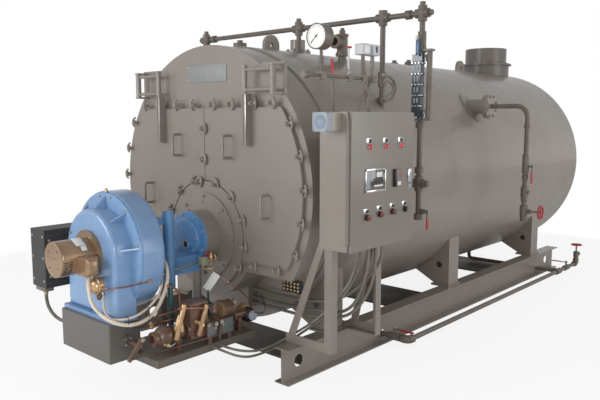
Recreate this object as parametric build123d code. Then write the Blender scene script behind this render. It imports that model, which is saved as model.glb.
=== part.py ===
from build123d import *
import os
from math import pi, sqrt, tan, radians

os.makedirs("parts", exist_ok=True)

# Packaged fire-tube boiler on a skid. Millimetres, +Z up from the floor, +Y to the rear,
# +X to the panel side. The origin is on the floor, midway between the skid beams, straight
# below the front face of the smoke box.

# Shell and front face
shell_r = 859.0
belly_clear = 191.0
axis_z = shell_r + belly_clear
crown_z = axis_z + shell_r
shell_wall = 12.0
shell_end_y = 3909.0
head_plate = 14.0
face_r = shell_r - 9.0
face_plate = 20.0
smokebox_depth = 210.0
smokebox_wall = 8.0
face_flat_z = axis_z - 484.0

# Furnace front and burner axis
burner_z = axis_z - 296.5
drum_r = 381.0
drum_wall = 14.0
ring_r = 333.0
door_rise = 5.0
door_plate = 20.0
mount_plate_r = 262.0
mount_plate = 14.0
blast_r = 158.0
blast_y = -145.0

# Access doors on davits
door_arc_r = face_r - 51.0
door_top_z = axis_z + face_r - 375.0
door_bottom_z = face_flat_z + 70.0
door_ring_r = 340.0
split_gap = 5.0
seat_gap = 0.3
seat_lap = 38.0
centre_post = 70.0
pin_x = face_r - 230.0
pin_y = -62.0
pin_r = 9.0
pin_clearance = 0.06
hanger_x = pin_x - 220.0
ear_x = (pin_x - 144.0, pin_x + 27.0)
ear_z = (axis_z + face_r - 310.0, axis_z + face_r - 128.0)
lug_plate = 12.0
lug_width = 40.0
arm_low_z = axis_z + face_r - 278.0
arm_high_z = arm_low_z + 110.0
arm_bar_r = 10.0
hinge_tube_r = 17.0
rod_tube_r = 15.0
arm_gap = 1.0
rod_head_r = 16.0
rod_head_h = 12.0
hanger_z = (axis_z + face_r - 590.0, axis_z + face_r - 298.0)
hanger_plate = 8.0
hanger_gap = 1.0
hanger_foot = 40.0
handle_len = 130.0
handle_stand = 62.0
handle_r = 8.0
handle_root = 2.0
handle_spots = [(235.0, axis_z + 250.0), (545.0, axis_z - 75.0)]

# Skid
beam_h = 203.0
beam_w = 105.0
beam_x = 697.0
flange_t = 8.0
web_t = 6.0
beam_y0 = -85.0
beam_y1 = 3820.0
lift_hole_r = 36.5
lift_hole_z = 100.0
lift_hole_inset = 140.0
lift_hole_rear_inset = 172.0
cross_plate_t = 12.0
cross_plates = [(360.0, 360.0), (1790.0, 510.0), (3320.0, 510.0)]
saddle_y = [360.0, 1792.0, 3317.0]
saddle_w = 145.0
saddle_t = 9.0
saddle_outer_x = 716.0
saddle_inner_base_x = 598.0
saddle_inner_top_x = 425.0
saddle_foot_t = 12.0
saddle_foot_x = (578.0, 728.0)
saddle_foot_margin = 22.0
saddle_top_drop = 450.0
saddle_hole_r = 24.0
saddle_hole = (633.0, 365.0)

# Stack outlet
stack_y = 3652.0
stack_r = 200.0
stack_wall = 6.0
stack_top_z = crown_z + 246.0
stack_flange_r = 250.0
stack_flange_z = crown_z + 81.0
stack_flange_t = 14.0
stack_neck_r = 226.0

# Burner head, duct and hinge column
head_flange_r = 157.0
head_flange_t = 20.0
head_cover_r = 115.0
head_cover_t = 24.0
head_cover_edge = 7.0
port_offset = 32.0
port_r = 27.0
port_bore_r = 18.0
port_reach = 22.0
port_depth = 16.0
duct_half_w = 118.0
duct_z = (burner_z - 181.5, burner_z - 83.5)
outlet_y = -450.0
outlet_top_z = burner_z + 146.5
column_x = 158.0
column_y = -424.0
column_r = 32.0
column_z = (burner_z - 228.5, burner_z + 201.5)
column_arm_h = 40.0
column_arms = [60.0, 380.0]

# Fan, air inlet and motor
fan_rear_y = -560.0
fan_front_y = -700.0
fan_r = 325.0
fan_rim_r = 300.0
fan_flange_r = 318.0
fan_flange_t = 14.0
cover_r = 238.0
cover_y = -820.0
cover_edge = 22.0
foot_half_w = 252.0
foot_y0 = -842.0
foot_t = 20.0
rib_count = 5
rib_spread = 160.0
rib_t = 8.0
rib_sink = 6.0
rib_front_y = -790.0
rib_edge = 16.0
inlet_half_w = 240.0
inlet_y = (-866.0, -678.0)
inlet_z = (burner_z - 534.5, burner_z - 329.5)
inlet_edge = 8.0
damper_y = -768.0
damper_z = burner_z - 431.5
damper_boss_r = 26.0
damper_boss = 22.0
air_switch_x = 138.0
air_switch_z = burner_z - 140.0
air_switch_r = 40.0
air_switch_t = 46.0
air_gland_r = 9.0
air_gland_x = 158.0
air_gland_y = cover_y - air_switch_t / 2
air_gland_z = burner_z - 190.0
motor_flange_r = 129.0
motor_flange_t = 18.0
motor_r = 93.0
motor_end_y = -1020.0
motor_edge = 16.0
terminal_x = 158.0
terminal_sink = 30.0
terminal_y = (-940.0, -862.0)
terminal_z = (burner_z - 81.5, burner_z + 18.5)
terminal_edge = 10.0
control_x = (-490.0, -334.0)
control_y = (-900.0, -540.0)
control_z = (burner_z - 233.5, burner_z + 96.5)
control_edge = 6.0
control_arm_y = (-794.0, -734.0)
control_arm_z = (burner_z - 110.0, burner_z - 30.0)

# Gas train: rounds on the line are (start y, end y, radius)
gas_x = 400.0
gas_z = burner_z - 401.5
gas_pipe_r = 24.0
gas_y = (-720.0, -60.0)
gas_bore_r = 19.0
gas_rounds = [(-720.0, -700.0, 38.0), (-592.0, -576.0, 46.0), (-576.0, -540.0, 34.0),
              (-524.0, -508.0, 46.0), (-388.0, -372.0, 46.0), (-330.0, -300.0, 34.0),
              (-185.0, -170.0, 34.0)]
globe_y = -648.0
globe_r = 56.0
safety_box = (44.0, -506.0, -390.0, gas_z - 46.0, gas_z + 150.0)
safety_box_edge = 16.0
governor_y = (-268.0, -200.0)
governor_z = gas_z + 54.0
governor_r = 50.0
governor_rim = (10.0, 56.0)
regulator_y = -60.0
regulator_z = gas_z - 17.0
regulator_steps = [(345.0, 362.0, 51.0), (362.0, 376.0, 44.0), (376.0, 384.0, 50.0),
                   (384.0, 432.0, 37.0), (432.0, 455.0, 23.0)]
gas_saddles = [-560.0, -350.0, -130.0]
gas_saddle_w = 28.0
gas_socket = 40.0
shelf_x = (92.0, 462.0)
shelf_y = (-732.0, -60.0)
shelf_z = burner_z - 503.5
shelf_t = 6.0
shelf_lip = 34.0
leg_x = (98.0, 110.0)
leg_w = 32.0
leg_y = -430.0
riser_x = 88.0
riser_y = -178.0
riser_r = 28.0

# Gas actuator: a plate on the shelf, its arms and the tie rods
plate_x = (450.0, 461.0)
plate_y = (-410.0, -224.0)
plate_z = (gas_z - 62.0, gas_z + 23.0)
plate_feet = [-390.0, -250.0]
plate_foot_w = 24.0
drive_hub_spot = (-358.0, gas_z + 12.0)
drive_hub_r = 16.0
drive_hub_x = 474.0
drive_arm = [(-325.0, gas_z + 19.0), (-340.0, gas_z - 72.0)]
drive_arm_x = (466.0, 480.0)
drive_rod_z = gas_z - 54.0
drive_rod_r = 4.5
drive_arm_r = (9.0, 7.0)
damper_shaft_r = 12.0
damper_arm = [(-757.0, damper_z + 33.0), (-833.0, damper_z - 56.0)]
damper_arm_x = (358.0, 374.0)
damper_arm_r = (11.0, 9.0)
brass_x = (457.0, 469.0)
brass_front = [(-561.0, gas_z + 160.0), (-619.0, gas_z - 12.0)]
brass_rear = [(-414.0, gas_z + 128.0), (-472.0, gas_z - 26.0)]
brass_boss_r = 11.0
brass_arm_r = (6.0, 11.0)
tie_rod = [(-602.0, gas_z + 148.0), (-309.0, gas_z + 89.0)]
tie_rod_r = 4.0

# Control panel and its stand
panel_x0 = shell_r + 98.0
panel_x1 = panel_x0 + 201.0
panel_y0 = -70.0
panel_y1 = 482.0
panel_z0 = 800.0
panel_z1 = 1496.0
panel_wall = 3.0
panel_lip = 22.0
panel_door_t = 3.0
panel_door_rim = 18.0
panel_door_gap = 5.0
panel_hinge_r = 6.0
panel_hinge_gap = 1.0
knuckle_inset = 6.0
knuckle_len = 30.0
knuckle_gap = 2.0
knuckle_leaf = 24.0
knuckle_step = 12.0
hinge_pin_r = 3.0
angle_w = 50.0
angle_t = 6.0
stand_y0 = 30.0
stand_y1 = 436.0
stand_inner_x = beam_x - 75.0
stand_rear_x = beam_x + 35.0
stand_tie_inset = 40.0
stand_top_z = 1380.0
brace_top_z = 900.0
horn_size = 94.0
horn_x = panel_x0 + 88.0
horn_z = panel_z1 - 49.0
horn_base = 66.0
horn_cap = 38.0
horn_step = 4.0
horn_edge = 8.0

# Steam header and water columns
header_y = 830.0
header_z = crown_z + 171.0
header_r = 16.7
header_x = shell_r + 126.0
header_dip = 20.0
fitting_r = 27.0
fitting_arm = fitting_r + 18.0
plug_len = 22.0
plug_r = 0.62 * fitting_r
coupling_inset = 95.0
coupling_half = 18.0
drop_x = shell_r - 156.0
drop_tee_z = header_z - 375.0
drop_union_rise = 34.0
column_top_z = header_z - 230.0
column_low_z = header_z - 610.0
column_body_r = 30.0
column_back_x = header_x + 55.0
column_block = (25.0, 20.0, 12.0)
column_block_z = [column_low_z - 20.0, column_top_z + 8.0]
column_back_over = 20.0
glass_x = (header_x - 44.0, header_x + 15.0)
glass_y = (header_y - 34.0, header_y + 8.0)
glass_z = (column_low_z + 8.0, column_top_z - 8.0)
glass_clamp = 40.0
glass_clamp_out = (10.0, 2.0, 12.0)
glass_lap = 26.0
glass_nipple_r = 20.0
tee_z = axis_z + 22.0
drain_z = axis_z - 182.0
drain_valve_rise = 34.0
drain_valve_body = (46.0, 15.0)
drain_stem_end = 60.0
top_valve_z = header_z - 145.0
top_valve_body = (-55.0, 40.0, 25.0)
stem_r = 7.0
stem_reach = 44.0

# Crown fittings
steam_spot = (-90.0, 918.0)
steam_low_z = crown_z + 9.0
steam_flange_t = 22.0
steam_top_z = crown_z + 107.0
steam_body_r = 53.0
steam_flange_r = 92.0
steam_bore_r = 40.0
steam_bore_depth = 85.0
lug_y_spots = [555.0, 3120.0]
lug_eye = 35.0
lug_r = 68.0
lug_hole_r = 16.0
lug_t = 25.0
plug_spots = [(277.0, 42.0, 26.0), (2010.0, 30.0, 16.0), (2226.0, 34.0, 34.0)]
plug_head_r = 18.0
plug_head_h = 18.0
safety_spot = (350.0, 872.0)
safety_rounds = [(-30.0, 50.0, 28.0), (40.0, 62.0, 44.0), (40.0, 176.0, 36.0), (168.0, 182.0, 42.0),
                 (182.0, 208.0, 20.0), (208.0, 222.0, 13.0)]
safety_out_rise = 128.0
safety_out_r = 34.0
safety_out_face = 84.0
safety_out_flange = (18.0, 44.0)
safety_bore_r = 27.0
safety_bore_len = 74.0

# Gauge manifold
manifold_x = panel_x0 + 15.0
manifold_z = panel_z1 + 179.0
manifold_y = (-200.0, 372.0)
manifold_r = 9.0
manifold_block = 19.0
manifold_blocks = [-80.0, 140.0, 262.0, 348.0]
manifold_end = (17.0, 14.0, 20.0)
post_y = 12.0
post_r = 10.0
post_foot = (-15.0, 25.0, 20.0, 6.0)
gauge_stem_y = -80.0
gauge_stem_r = 8.0
gauge_nut = (60.0, 90.0, 14.0)
gauge_y = -118.0
gauge_z = manifold_z + 187.0
gauge_r = 62.0
gauge_depth = 60.0
switch_size = (58.0, 62.0, 56.0)
switch_y = [262.0, 348.0]
switch_rise = 125.0
switch_stem_r = 9.0

# Feed water line: fittings on the drop are (distance below the nozzle, half length, radius)
nozzle_y = 2030.0
nozzle_z = crown_z - 354.0
nozzle_r = 57.0
nozzle_pad_r = 105.0
nozzle_pad_t = 9.0
nozzle_face_x = shell_r + 3.0
nozzle_flange_r = 92.0
nozzle_flange_t = 22.0
flange_gasket = 2.0
flange_step = 1.5
feed_x = nozzle_face_x + 280.0
feed_r = 17.0
feed_bend = 85.0
feed_drop = 840.0
feed_ball_drop = 435.0
feed_check_drop = 625.0
feed_globe_drop = 765.0
feed_fittings = [(145.0, 12.0, 22.0), (435.0, 52.0, 25.0), (367.0, 18.0, 24.0), (515.0, 14.0, 23.0),
                 (625.0, 40.0, 27.0), (685.0, 12.0, 23.0), (765.0, 42.0, 28.0), (820.0, 20.0, 24.0)]
feed_socket_len = 34.0
feed_bore_r = 13.5
check_cap = (36.0, 13.0)
globe_bonnet = (52.0, 17.0)
globe_stem_r = 6.0
wheel_reach = 118.0
wheel_hub_r = 13.0
wheel_hub_h = 14.0
wheel_spokes = 4
wheel_spoke = (9.0, 6.0)
wheel_rim_r = 6.0
feed_wheel_r = 52.0

# Blow-down line
drain_x = beam_x + 208.0
drain_pipe_z = 52.0
drain_pipe_r = 17.0
belly_overlap = 20.0
front_drain_y = 880.0
rear_drain_y = 3433.0
drain_end_y = 3900.0
rear_lever_y = 3640.0
front_valve_x = 800.0
drain_valve_half = 45.0
drain_valve_r = 25.0
drain_stem_z = 98.0
drain_wheel_z = 228.0
drain_riser_z = 168.0
drain_wheel_r = 52.0
drain_bore_r = 17.0
drain_bore_len = 30.0
drain_outlet_r = 23.0
drain_outlet_len = 54.0
drain_tee_trim = 1.0
elbow_len = 48.0
elbow_bend = 32.0
elbow_gap = 10.0
drain_hole_clearance = 9.0

# Valve levers: hub radius, arm width, arm thickness, hub height over the arm
lever_hub_r = 12.0
lever_w = 20.0
lever_t = 5.0
lever_hub_over = 7.0
lever_lift = 2.0
lever_gap = 0.3
column_valve_arm = 105.0
column_drain_arm = 110.0
feed_valve_arm = 125.0
front_drain_arm = 140.0
rear_drain_arm = 135.0

# Rigid conduits from the panel to the furnace front, arcs as a share of their runs
bend_share = 0.45
section_share = pi / 4
conduit_d = 18.0
junction_x = (130.0, 215.0)
junction_y = (125.0, 205.0)
junction_low_z = 297.0
terminal_strip_x = (590.0, 694.0)
terminal_strip_y = (46.0, 126.0)
terminal_strip_h = 84.0
conduit_routes = [
    [(1062.0, 340.0, panel_z0), (1061.0, 339.5, 690.0), (985.0, 320.0, 580.0), (890.0, 270.0, 472.0),
     (770.0, 230.0, 420.0), (630.0, 165.0, 412.0), (junction_x[1], 165.0, 412.0)],
    [(1047.0, 235.0, panel_z0), (1046.5, 235.0, 680.0), (1008.0, 235.0, 545.0), (950.0, 235.0, 430.0),
     (860.0, 240.0, 368.0), (750.0, 228.0, 359.0), (630.0, 165.0, 359.0),
     (junction_x[1], 165.0, 359.0)],
    [(1056.0, 290.0, panel_z0), (1056.0, 290.0, 660.0), (1026.0, 285.0, 530.0), (960.0, 280.0, 420.0),
     (870.0, 272.0, 340.0), (760.0, 240.0, 323.0), (630.0, 165.0, 323.0),
     (junction_x[1], 165.0, 323.0)]]

# Free conduits: diameter and route of each, from its gland to its far end
end_sink = 2.0
motor_conduit_d = 20.0
motor_route = [(118.0, -901.0, terminal_z[0]), (118.5, -901.5, 590.0), (172.0, -912.0, 521.0),
               (262.0, -892.0, 468.0), (310.0, -816.0, 426.0), (322.0, -722.0, 424.0),
               (318.0, -634.0, 460.0), (304.0, -560.0, 556.0), (280.0, -520.0, 640.0),
               (214.0, -504.0, 722.0), (duct_half_w - end_sink, -504.0, 738.0)]
switch_conduit_d = 13.0
switch_route = [(air_gland_x, air_gland_y, air_gland_z), (158.5, -843.5, 520.0),
                (180.0, -848.0, 481.5), (217.0, -851.0, 458.0), (264.0, -840.0, 455.0),
                (300.0, -806.0, 456.0), (310.0, -744.0, 464.0), (302.0, -672.0, 486.0),
                (290.0, -598.0, 530.0), (266.0, -545.0, 594.0), (203.0, -526.0, 652.0),
                (duct_half_w - end_sink, -524.0, 664.0)]
loop_conduit_d = 14.0
front_loop = [(shelf_x[1], -330.0, 238.0), (514.0, -330.0, 237.0), (560.0, -302.0, 225.0),
              (582.0, -248.0, 207.0), (580.0, -160.0, 184.0), (574.0, -50.0, 176.0),
              (592.0, 50.0, 200.0), (655.0, 106.0, 250.0), (745.0, 112.0, 314.0),
              (835.0, 132.0, 396.0), (920.0, 150.0, 500.0), (985.0, 160.0, 592.0),
              (1014.0, 160.0, 694.0), (1016.0, 160.0, panel_z0)]
rear_loop = [(shelf_x[1], -376.0, 238.0), (514.0, -376.0, 237.0), (558.0, -348.0, 219.0),
             (578.0, -296.0, 191.0), (566.0, -205.0, 158.0), (548.0, -92.0, 142.0),
             (556.0, 18.0, 150.0), (598.0, 105.0, 186.0), (660.0, 150.0, 240.0),
             (740.0, 168.0, 304.0), (832.0, 186.0, 390.0), (912.0, 205.0, 497.0),
             (974.0, 215.0, 592.0), (1006.5, 216.0, 694.0), (1008.0, 216.0, panel_z0)]


def block(x0, x1, y0, y1, z0, z1):
    size = Box(x1 - x0, y1 - y0, z1 - z0)
    return Pos((x0 + x1) / 2, (y0 + y1) / 2, (z0 + z1) / 2) * size


def cube(x, y, z, half):
    return block(x - half, x + half, y - half, y + half, z - half, z + half)


def rod(start, end, radius):
    a = Vector(*start)
    b = Vector(*end)
    return Solid.make_cylinder(radius, (b - a).length, Plane(origin=a, z_dir=b - a))


def disc_y(x, z, radius, y0, y1):
    return rod((x, y0, z), (x, y1, z), radius)


def rod_x(x0, x1, y, z, radius):
    return rod((x0, y, z), (x1, y, z), radius)


def rod_z(x, y, z0, z1, radius):
    return rod((x, y, z0), (x, y, z1), radius)


def prism_y(sketch, y0, y1):
    # a profile drawn with x across and z up, filled from y0 to y1
    plane = Plane(origin=(0, y1, 0), x_dir=(1, 0, 0), z_dir=(0, -1, 0))
    return extrude(plane * sketch, amount=y1 - y0)


def bent_pipe(points, radius, bend):
    path = FilletPolyline(*points, radius=bend)
    return sweep(Plane(origin=path @ 0, z_dir=path % 0) * Circle(radius), path)


def mirror_x(shape):
    return mirror(shape, about=Plane.YZ)


def save(name, *shapes):
    parts = []
    for shape in shapes:
        parts.extend(shape.solids())
    whole = parts[0] if len(parts) == 1 else Compound(children=parts)
    whole.label = name
    export_step(whole, f"parts/{name}.step")


def half_chord(radius, offset):
    return sqrt(radius ** 2 - offset ** 2)


# Skid beams
def skid_beam(side):
    x = side * beam_x
    beam = block(x - web_t / 2, x + web_t / 2, beam_y0, beam_y1, 0, beam_h)
    for z0 in (0, beam_h - flange_t):
        beam += block(x - beam_w / 2, x + beam_w / 2, beam_y0, beam_y1, z0, z0 + flange_t)
    for y in (beam_y0 + lift_hole_inset, beam_y1 - lift_hole_rear_inset):
        beam -= rod_x(x - beam_w, x + beam_w, y, lift_hole_z, lift_hole_r)
    if side > 0:
        for y in (front_drain_y, rear_drain_y):
            beam -= rod_x(x - beam_w, x + beam_w, y, drain_pipe_z, drain_hole_r)
    return beam


drain_hole_r = drain_pipe_r + drain_hole_clearance
save("skid_beam_left", skid_beam(-1))
save("skid_beam_right", skid_beam(1))

plate_x1 = beam_x - web_t / 2
save("cross_plates", *[block(-plate_x1, plate_x1, y - w / 2, y + w / 2,
                             flange_t, flange_t + cross_plate_t) for y, w in cross_plates])


# Saddles: a bent channel leg with a foot plate and a top cut to the shell
def saddle(side, y):
    foot_z = beam_h + saddle_foot_t
    inner_top_z = axis_z - half_chord(shell_r, saddle_inner_top_x)
    outline = Polyline((saddle_inner_base_x, foot_z), (saddle_outer_x, foot_z),
                       (saddle_outer_x, axis_z), (saddle_inner_top_x, axis_z),
                       (saddle_inner_top_x, inner_top_z), close=True)
    sheet = make_face(outline)
    sheet -= Pos(*saddle_hole) * Circle(saddle_hole_r)
    y0 = y - saddle_w / 2
    y1 = y + saddle_w / 2
    leg = prism_y(sheet, y0, y0 + saddle_t)
    leg += prism_y(sheet, y1 - saddle_t, y1)
    leg += block(saddle_outer_x - saddle_t, saddle_outer_x, y0, y1, foot_z, axis_z)
    leg += block(*saddle_foot_x, y0 - saddle_foot_margin, y1 + saddle_foot_margin, beam_h, foot_z)
    leg -= disc_y(0, axis_z, shell_r, y - saddle_w, y + saddle_w)
    leg &= block(0, saddle_foot_x[1], y - saddle_w, y + saddle_w, 0, axis_z - saddle_top_drop)
    return leg if side > 0 else mirror_x(leg)


save("saddles", *[saddle(side, y) for y in saddle_y for side in (1, -1)])

# Shell with its two end plates
shell_tube = disc_y(0, axis_z, shell_r, smokebox_depth, shell_end_y)
shell_tube -= disc_y(0, axis_z, shell_r - shell_wall, smokebox_depth, shell_end_y)
save("boiler_shell", shell_tube)

tube_sheet = disc_y(0, axis_z, shell_r - shell_wall, smokebox_depth, smokebox_depth + head_plate)
tube_sheet -= disc_y(0, burner_z, drum_r, smokebox_depth, smokebox_depth + head_plate)
rear_head = disc_y(0, axis_z, shell_r - shell_wall, shell_end_y - head_plate, shell_end_y)
save("shell_heads", tube_sheet, rear_head)


# Smoke box behind the front face: a circle cut flat below, open round the furnace drum
def face_area(radius, flat_z):
    area = Pos(0, axis_z) * Circle(radius)
    area -= Pos(0, flat_z - radius / 2) * Rectangle(4 * radius, radius)
    return area


wrap = prism_y(face_area(face_r, face_flat_z), face_plate, smokebox_depth)
wrap -= prism_y(face_area(face_r - smokebox_wall, face_flat_z + smokebox_wall), face_plate,
                smokebox_depth)
wrap -= disc_y(0, burner_z, drum_r, face_plate, smokebox_depth)
save("smokebox_wrap", wrap)


# One access door, drawn for the right side
def door_area(inset):
    # region of the right door, shrunk by inset on its outer edges
    r = door_arc_r - inset
    top = door_top_z - inset
    bottom = door_bottom_z + inset
    area = Pos(0, axis_z) * Circle(r)
    area &= Pos(r, (top + bottom) / 2) * Rectangle(2 * r, top - bottom)
    return area


def right_door_area():
    area = door_area(0)
    area -= Pos(0, axis_z) * Rectangle(split_gap, 4 * face_r)
    area -= Pos(0, burner_z) * Circle(door_ring_r)
    return area


# Front plate with the seats that the doors close on, and the two hinge ears
plate_area = face_area(face_r, face_flat_z)
for side in (1, -1):
    plate_area += Pos(side * sum(ear_x) / 2, sum(ear_z) / 2) * Rectangle(
        ear_x[1] - ear_x[0], ear_z[1] - ear_z[0])
opening = door_area(seat_lap)
opening -= Pos(0, axis_z) * Rectangle(centre_post, 4 * face_r)
plate_area -= opening
plate_area -= mirror(opening, about=Plane.YZ)
front_plate = prism_y(plate_area, 0, face_plate)
front_plate -= disc_y(0, burner_z, drum_r, 0, face_plate)
save("front_plate", front_plate)

# Furnace drum, and the burner ring on it with the plate that carries the burner
door_y1 = -door_rise
door_y0 = door_y1 - door_plate
drum = disc_y(0, burner_z, drum_r, 0, smokebox_depth + head_plate)
drum -= disc_y(0, burner_z, drum_r - drum_wall, face_plate, smokebox_depth + head_plate)
save("furnace_drum", drum)

mount_y = door_y0 - mount_plate
mounting = disc_y(0, burner_z, ring_r, door_y0, 0)
mounting += disc_y(0, burner_z, mount_plate_r, mount_y, door_y0)
save("burner_mounting_plate", mounting)
save("blast_tube", disc_y(0, burner_z, blast_r, blast_y, mount_y))

# Fixed davit hinges: two lugs and a pin each side
lug_low_z = arm_low_z - rod_tube_r - arm_gap
lug_high_z = arm_high_z + rod_tube_r + arm_gap
hinge = rod_z(pin_x, pin_y, lug_low_z - lug_plate, lug_high_z + lug_plate, pin_r)
for z0, z1 in ((lug_low_z - lug_plate, lug_low_z), (lug_high_z, lug_high_z + lug_plate)):
    hinge += block(pin_x - lug_width / 2, pin_x + lug_width / 2, pin_y, 0, z0, z1)
    hinge += rod_z(pin_x, pin_y, z0, z1, lug_width / 2)
save("davit_hinges", hinge, mirror_x(hinge))


# Davit arm: hinge tube, two bars and the tube that carries the door's rod
def davit():
    ends = (arm_low_z - rod_tube_r, arm_high_z + rod_tube_r)
    arm = rod_z(pin_x, pin_y, *ends, hinge_tube_r)
    arm += rod_z(hanger_x, pin_y, *ends, rod_tube_r)
    for z in (arm_low_z, arm_high_z):
        arm += rod_x(hanger_x, pin_x, pin_y, z, arm_bar_r)
    for x in (pin_x, hanger_x):
        arm -= rod_z(x, pin_y, *ends, pin_r + pin_clearance)
    return arm


save("right_davit", davit())
save("left_davit", mirror_x(davit()))


# Door with its hanger, rod and two grab handles
def door():
    panel = prism_y(right_door_area(), door_y0, door_y1)
    inner = pin_r - hanger_gap
    for side in (1, -1):
        x = hanger_x + side * (inner + hanger_plate / 2)
        panel += block(x - hanger_plate / 2, x + hanger_plate / 2, pin_y - pin_r, door_y0, *hanger_z)
    head_z = arm_high_z + rod_tube_r + seat_gap
    panel += rod_z(hanger_x, pin_y, hanger_z[0], head_z, pin_r)
    panel += rod_z(hanger_x, pin_y, head_z, head_z + rod_head_h, rod_head_r)
    panel += block(hanger_x - inner, hanger_x + inner, pin_y, door_y0, hanger_z[0],
                   hanger_z[0] + hanger_foot)
    root_y = door_y0 + handle_root
    grip_y = door_y0 - handle_stand
    for x, z in handle_spots:
        z0 = z - handle_len / 2
        z1 = z + handle_len / 2
        panel += bent_pipe([(x, root_y, z0), (x, grip_y, z0), (x, grip_y, z1), (x, root_y, z1)],
                           handle_r, 2 * handle_r)
    return panel


save("right_door", door())
save("left_door", mirror_x(door()))

# Stack outlet on the crown at the rear
stack = rod_z(0, stack_y, axis_z, stack_flange_z, stack_neck_r)
stack += rod_z(0, stack_y, stack_flange_z, stack_flange_z + stack_flange_t, stack_flange_r)
stack += rod_z(0, stack_y, stack_flange_z, stack_top_z, stack_r)
stack -= rod_z(0, stack_y, 0, 2 * stack_top_z, stack_r - stack_wall)
stack -= disc_y(0, axis_z, shell_r, stack_y - stack_flange_r, stack_y + stack_flange_r)
save("stack_collar", stack)

# Burner head with its air duct, round cover and sight port
head = disc_y(0, burner_z, head_flange_r, blast_y - head_flange_t, blast_y)
cover_face_y = blast_y - head_flange_t - head_cover_t
round_cover = disc_y(0, burner_z, head_cover_r, cover_face_y, blast_y)
head += fillet(round_cover.edges().group_by(Axis.Y)[0], head_cover_edge)
head += block(-duct_half_w, duct_half_w, outlet_y, blast_y - head_flange_t / 2, *duct_z)
port_z = burner_z - port_offset
head += disc_y(port_offset, port_z, port_r, cover_face_y - port_reach, cover_face_y)
head -= disc_y(port_offset, port_z, port_bore_r, cover_face_y - port_reach,
               cover_face_y + port_depth)
save("burner_head", head)

# Outlet box behind the fan, and the hinge column on its side
outlet_box = block(-duct_half_w, duct_half_w, fan_rear_y, outlet_y, duct_z[0], outlet_top_z)
save("fan_outlet_box", outlet_box)
hinge_column = rod_z(column_x, column_y, *column_z, column_r)
for rise in column_arms:
    z = column_z[0] + rise
    hinge_column += block(duct_half_w + seat_gap, column_x, fan_rear_y + seat_gap, column_y,
                          z - column_arm_h / 2, z + column_arm_h / 2)
save("burner_hinge", hinge_column)

# Fan drum: a shallow drum with a rounded rear edge
fan = disc_y(0, burner_z, fan_r, fan_front_y, fan_rear_y)
fan = fillet(fan.edges().group_by(Axis.Y)[-1], fan_r - fan_rim_r)
save("fan_drum", fan)

# Fan cover: an arch with a bolting flange, ribs, a flared foot and the air switch
arch_area = Pos(0, burner_z) * Circle(cover_r)
arch_h = burner_z - inlet_z[1] - foot_t
arch_area += Pos(0, burner_z - arch_h / 2) * Rectangle(2 * cover_r, arch_h)
flange_y = fan_front_y - fan_flange_t
cover = prism_y(arch_area, cover_y, fan_front_y)
cover = fillet(cover.edges().group_by(Axis.Y)[0], cover_edge)
cover += disc_y(0, burner_z, fan_flange_r, flange_y, fan_front_y)
cover += block(-foot_half_w, foot_half_w, foot_y0, fan_front_y, inlet_z[1], inlet_z[1] + foot_t)
rib_low = cover_r - rib_sink
rib_sheet = make_face(Polyline((rib_front_y, rib_low), (flange_y, rib_low),
                               (flange_y, fan_flange_r - rib_edge), close=True))
rib = extrude(Plane.YZ * rib_sheet, amount=rib_t / 2, both=True)
for step in range(rib_count):
    turn = rib_spread * (step / (rib_count - 1) - 0.5)
    cover += Pos(0, 0, burner_z) * (Rot(0, turn, 0) * rib)
cover += disc_y(air_switch_x, air_switch_z, air_switch_r, cover_y - air_switch_t, cover_y + 1)
cover += rod_z(air_gland_x, air_gland_y, air_gland_z, air_switch_z, air_gland_r)
save("fan_cover", cover)

# Air inlet box under the fan with the boss of its damper shaft
inlet = block(-inlet_half_w, inlet_half_w, *inlet_y, *inlet_z)
inlet = fillet(inlet.edges().filter_by(Axis.Z), inlet_edge)
inlet += rod_x(inlet_half_w, inlet_half_w + damper_boss, damper_y, damper_z, damper_boss_r)
save("air_inlet_box", inlet)

# Motor with its flange, and the terminal box on its side
motor_y1 = cover_y - motor_flange_t
motor = disc_y(0, burner_z, motor_r, motor_end_y, motor_y1)
motor = fillet(motor.edges().group_by(Axis.Y)[0], motor_edge)
motor += disc_y(0, burner_z, motor_flange_r, motor_y1, cover_y)
save("burner_motor", motor)
terminal = block(motor_r - terminal_sink, terminal_x, *terminal_y, *terminal_z)
terminal = fillet(terminal.edges().filter_by(Axis.X), terminal_edge)
terminal -= disc_y(0, burner_z, motor_r, *terminal_y)
save("motor_terminal_box", terminal)

# Burner control box, held to the side of the fan cover
control = block(*control_x, *control_y, *control_z)
control = fillet(control.edges().filter_by(Axis.Y), control_edge)
control += block(control_x[1], -cover_r, *control_arm_y, *control_arm_z)
save("burner_control_box", control)

# Gas shelf: a channel below the burner, hung from the air duct on a leg
shelf = block(*shelf_x, *shelf_y, shelf_z, shelf_z + shelf_t)
for y in (shelf_y[0], shelf_y[1] - shelf_t):
    shelf += block(*shelf_x, y, y + shelf_t, shelf_z - shelf_lip, shelf_z)
shelf += block(shelf_x[1] - shelf_t, shelf_x[1], *shelf_y, shelf_z - shelf_lip, shelf_z)
shelf -= block(0, inlet_half_w + seat_gap, inlet_y[0], inlet_y[1] + seat_gap, 0, inlet_z[1])
shelf += block(*leg_x, leg_y - leg_w / 2, leg_y + leg_w / 2, shelf_z, duct_z[0])
save("gas_shelf", shelf)

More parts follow.
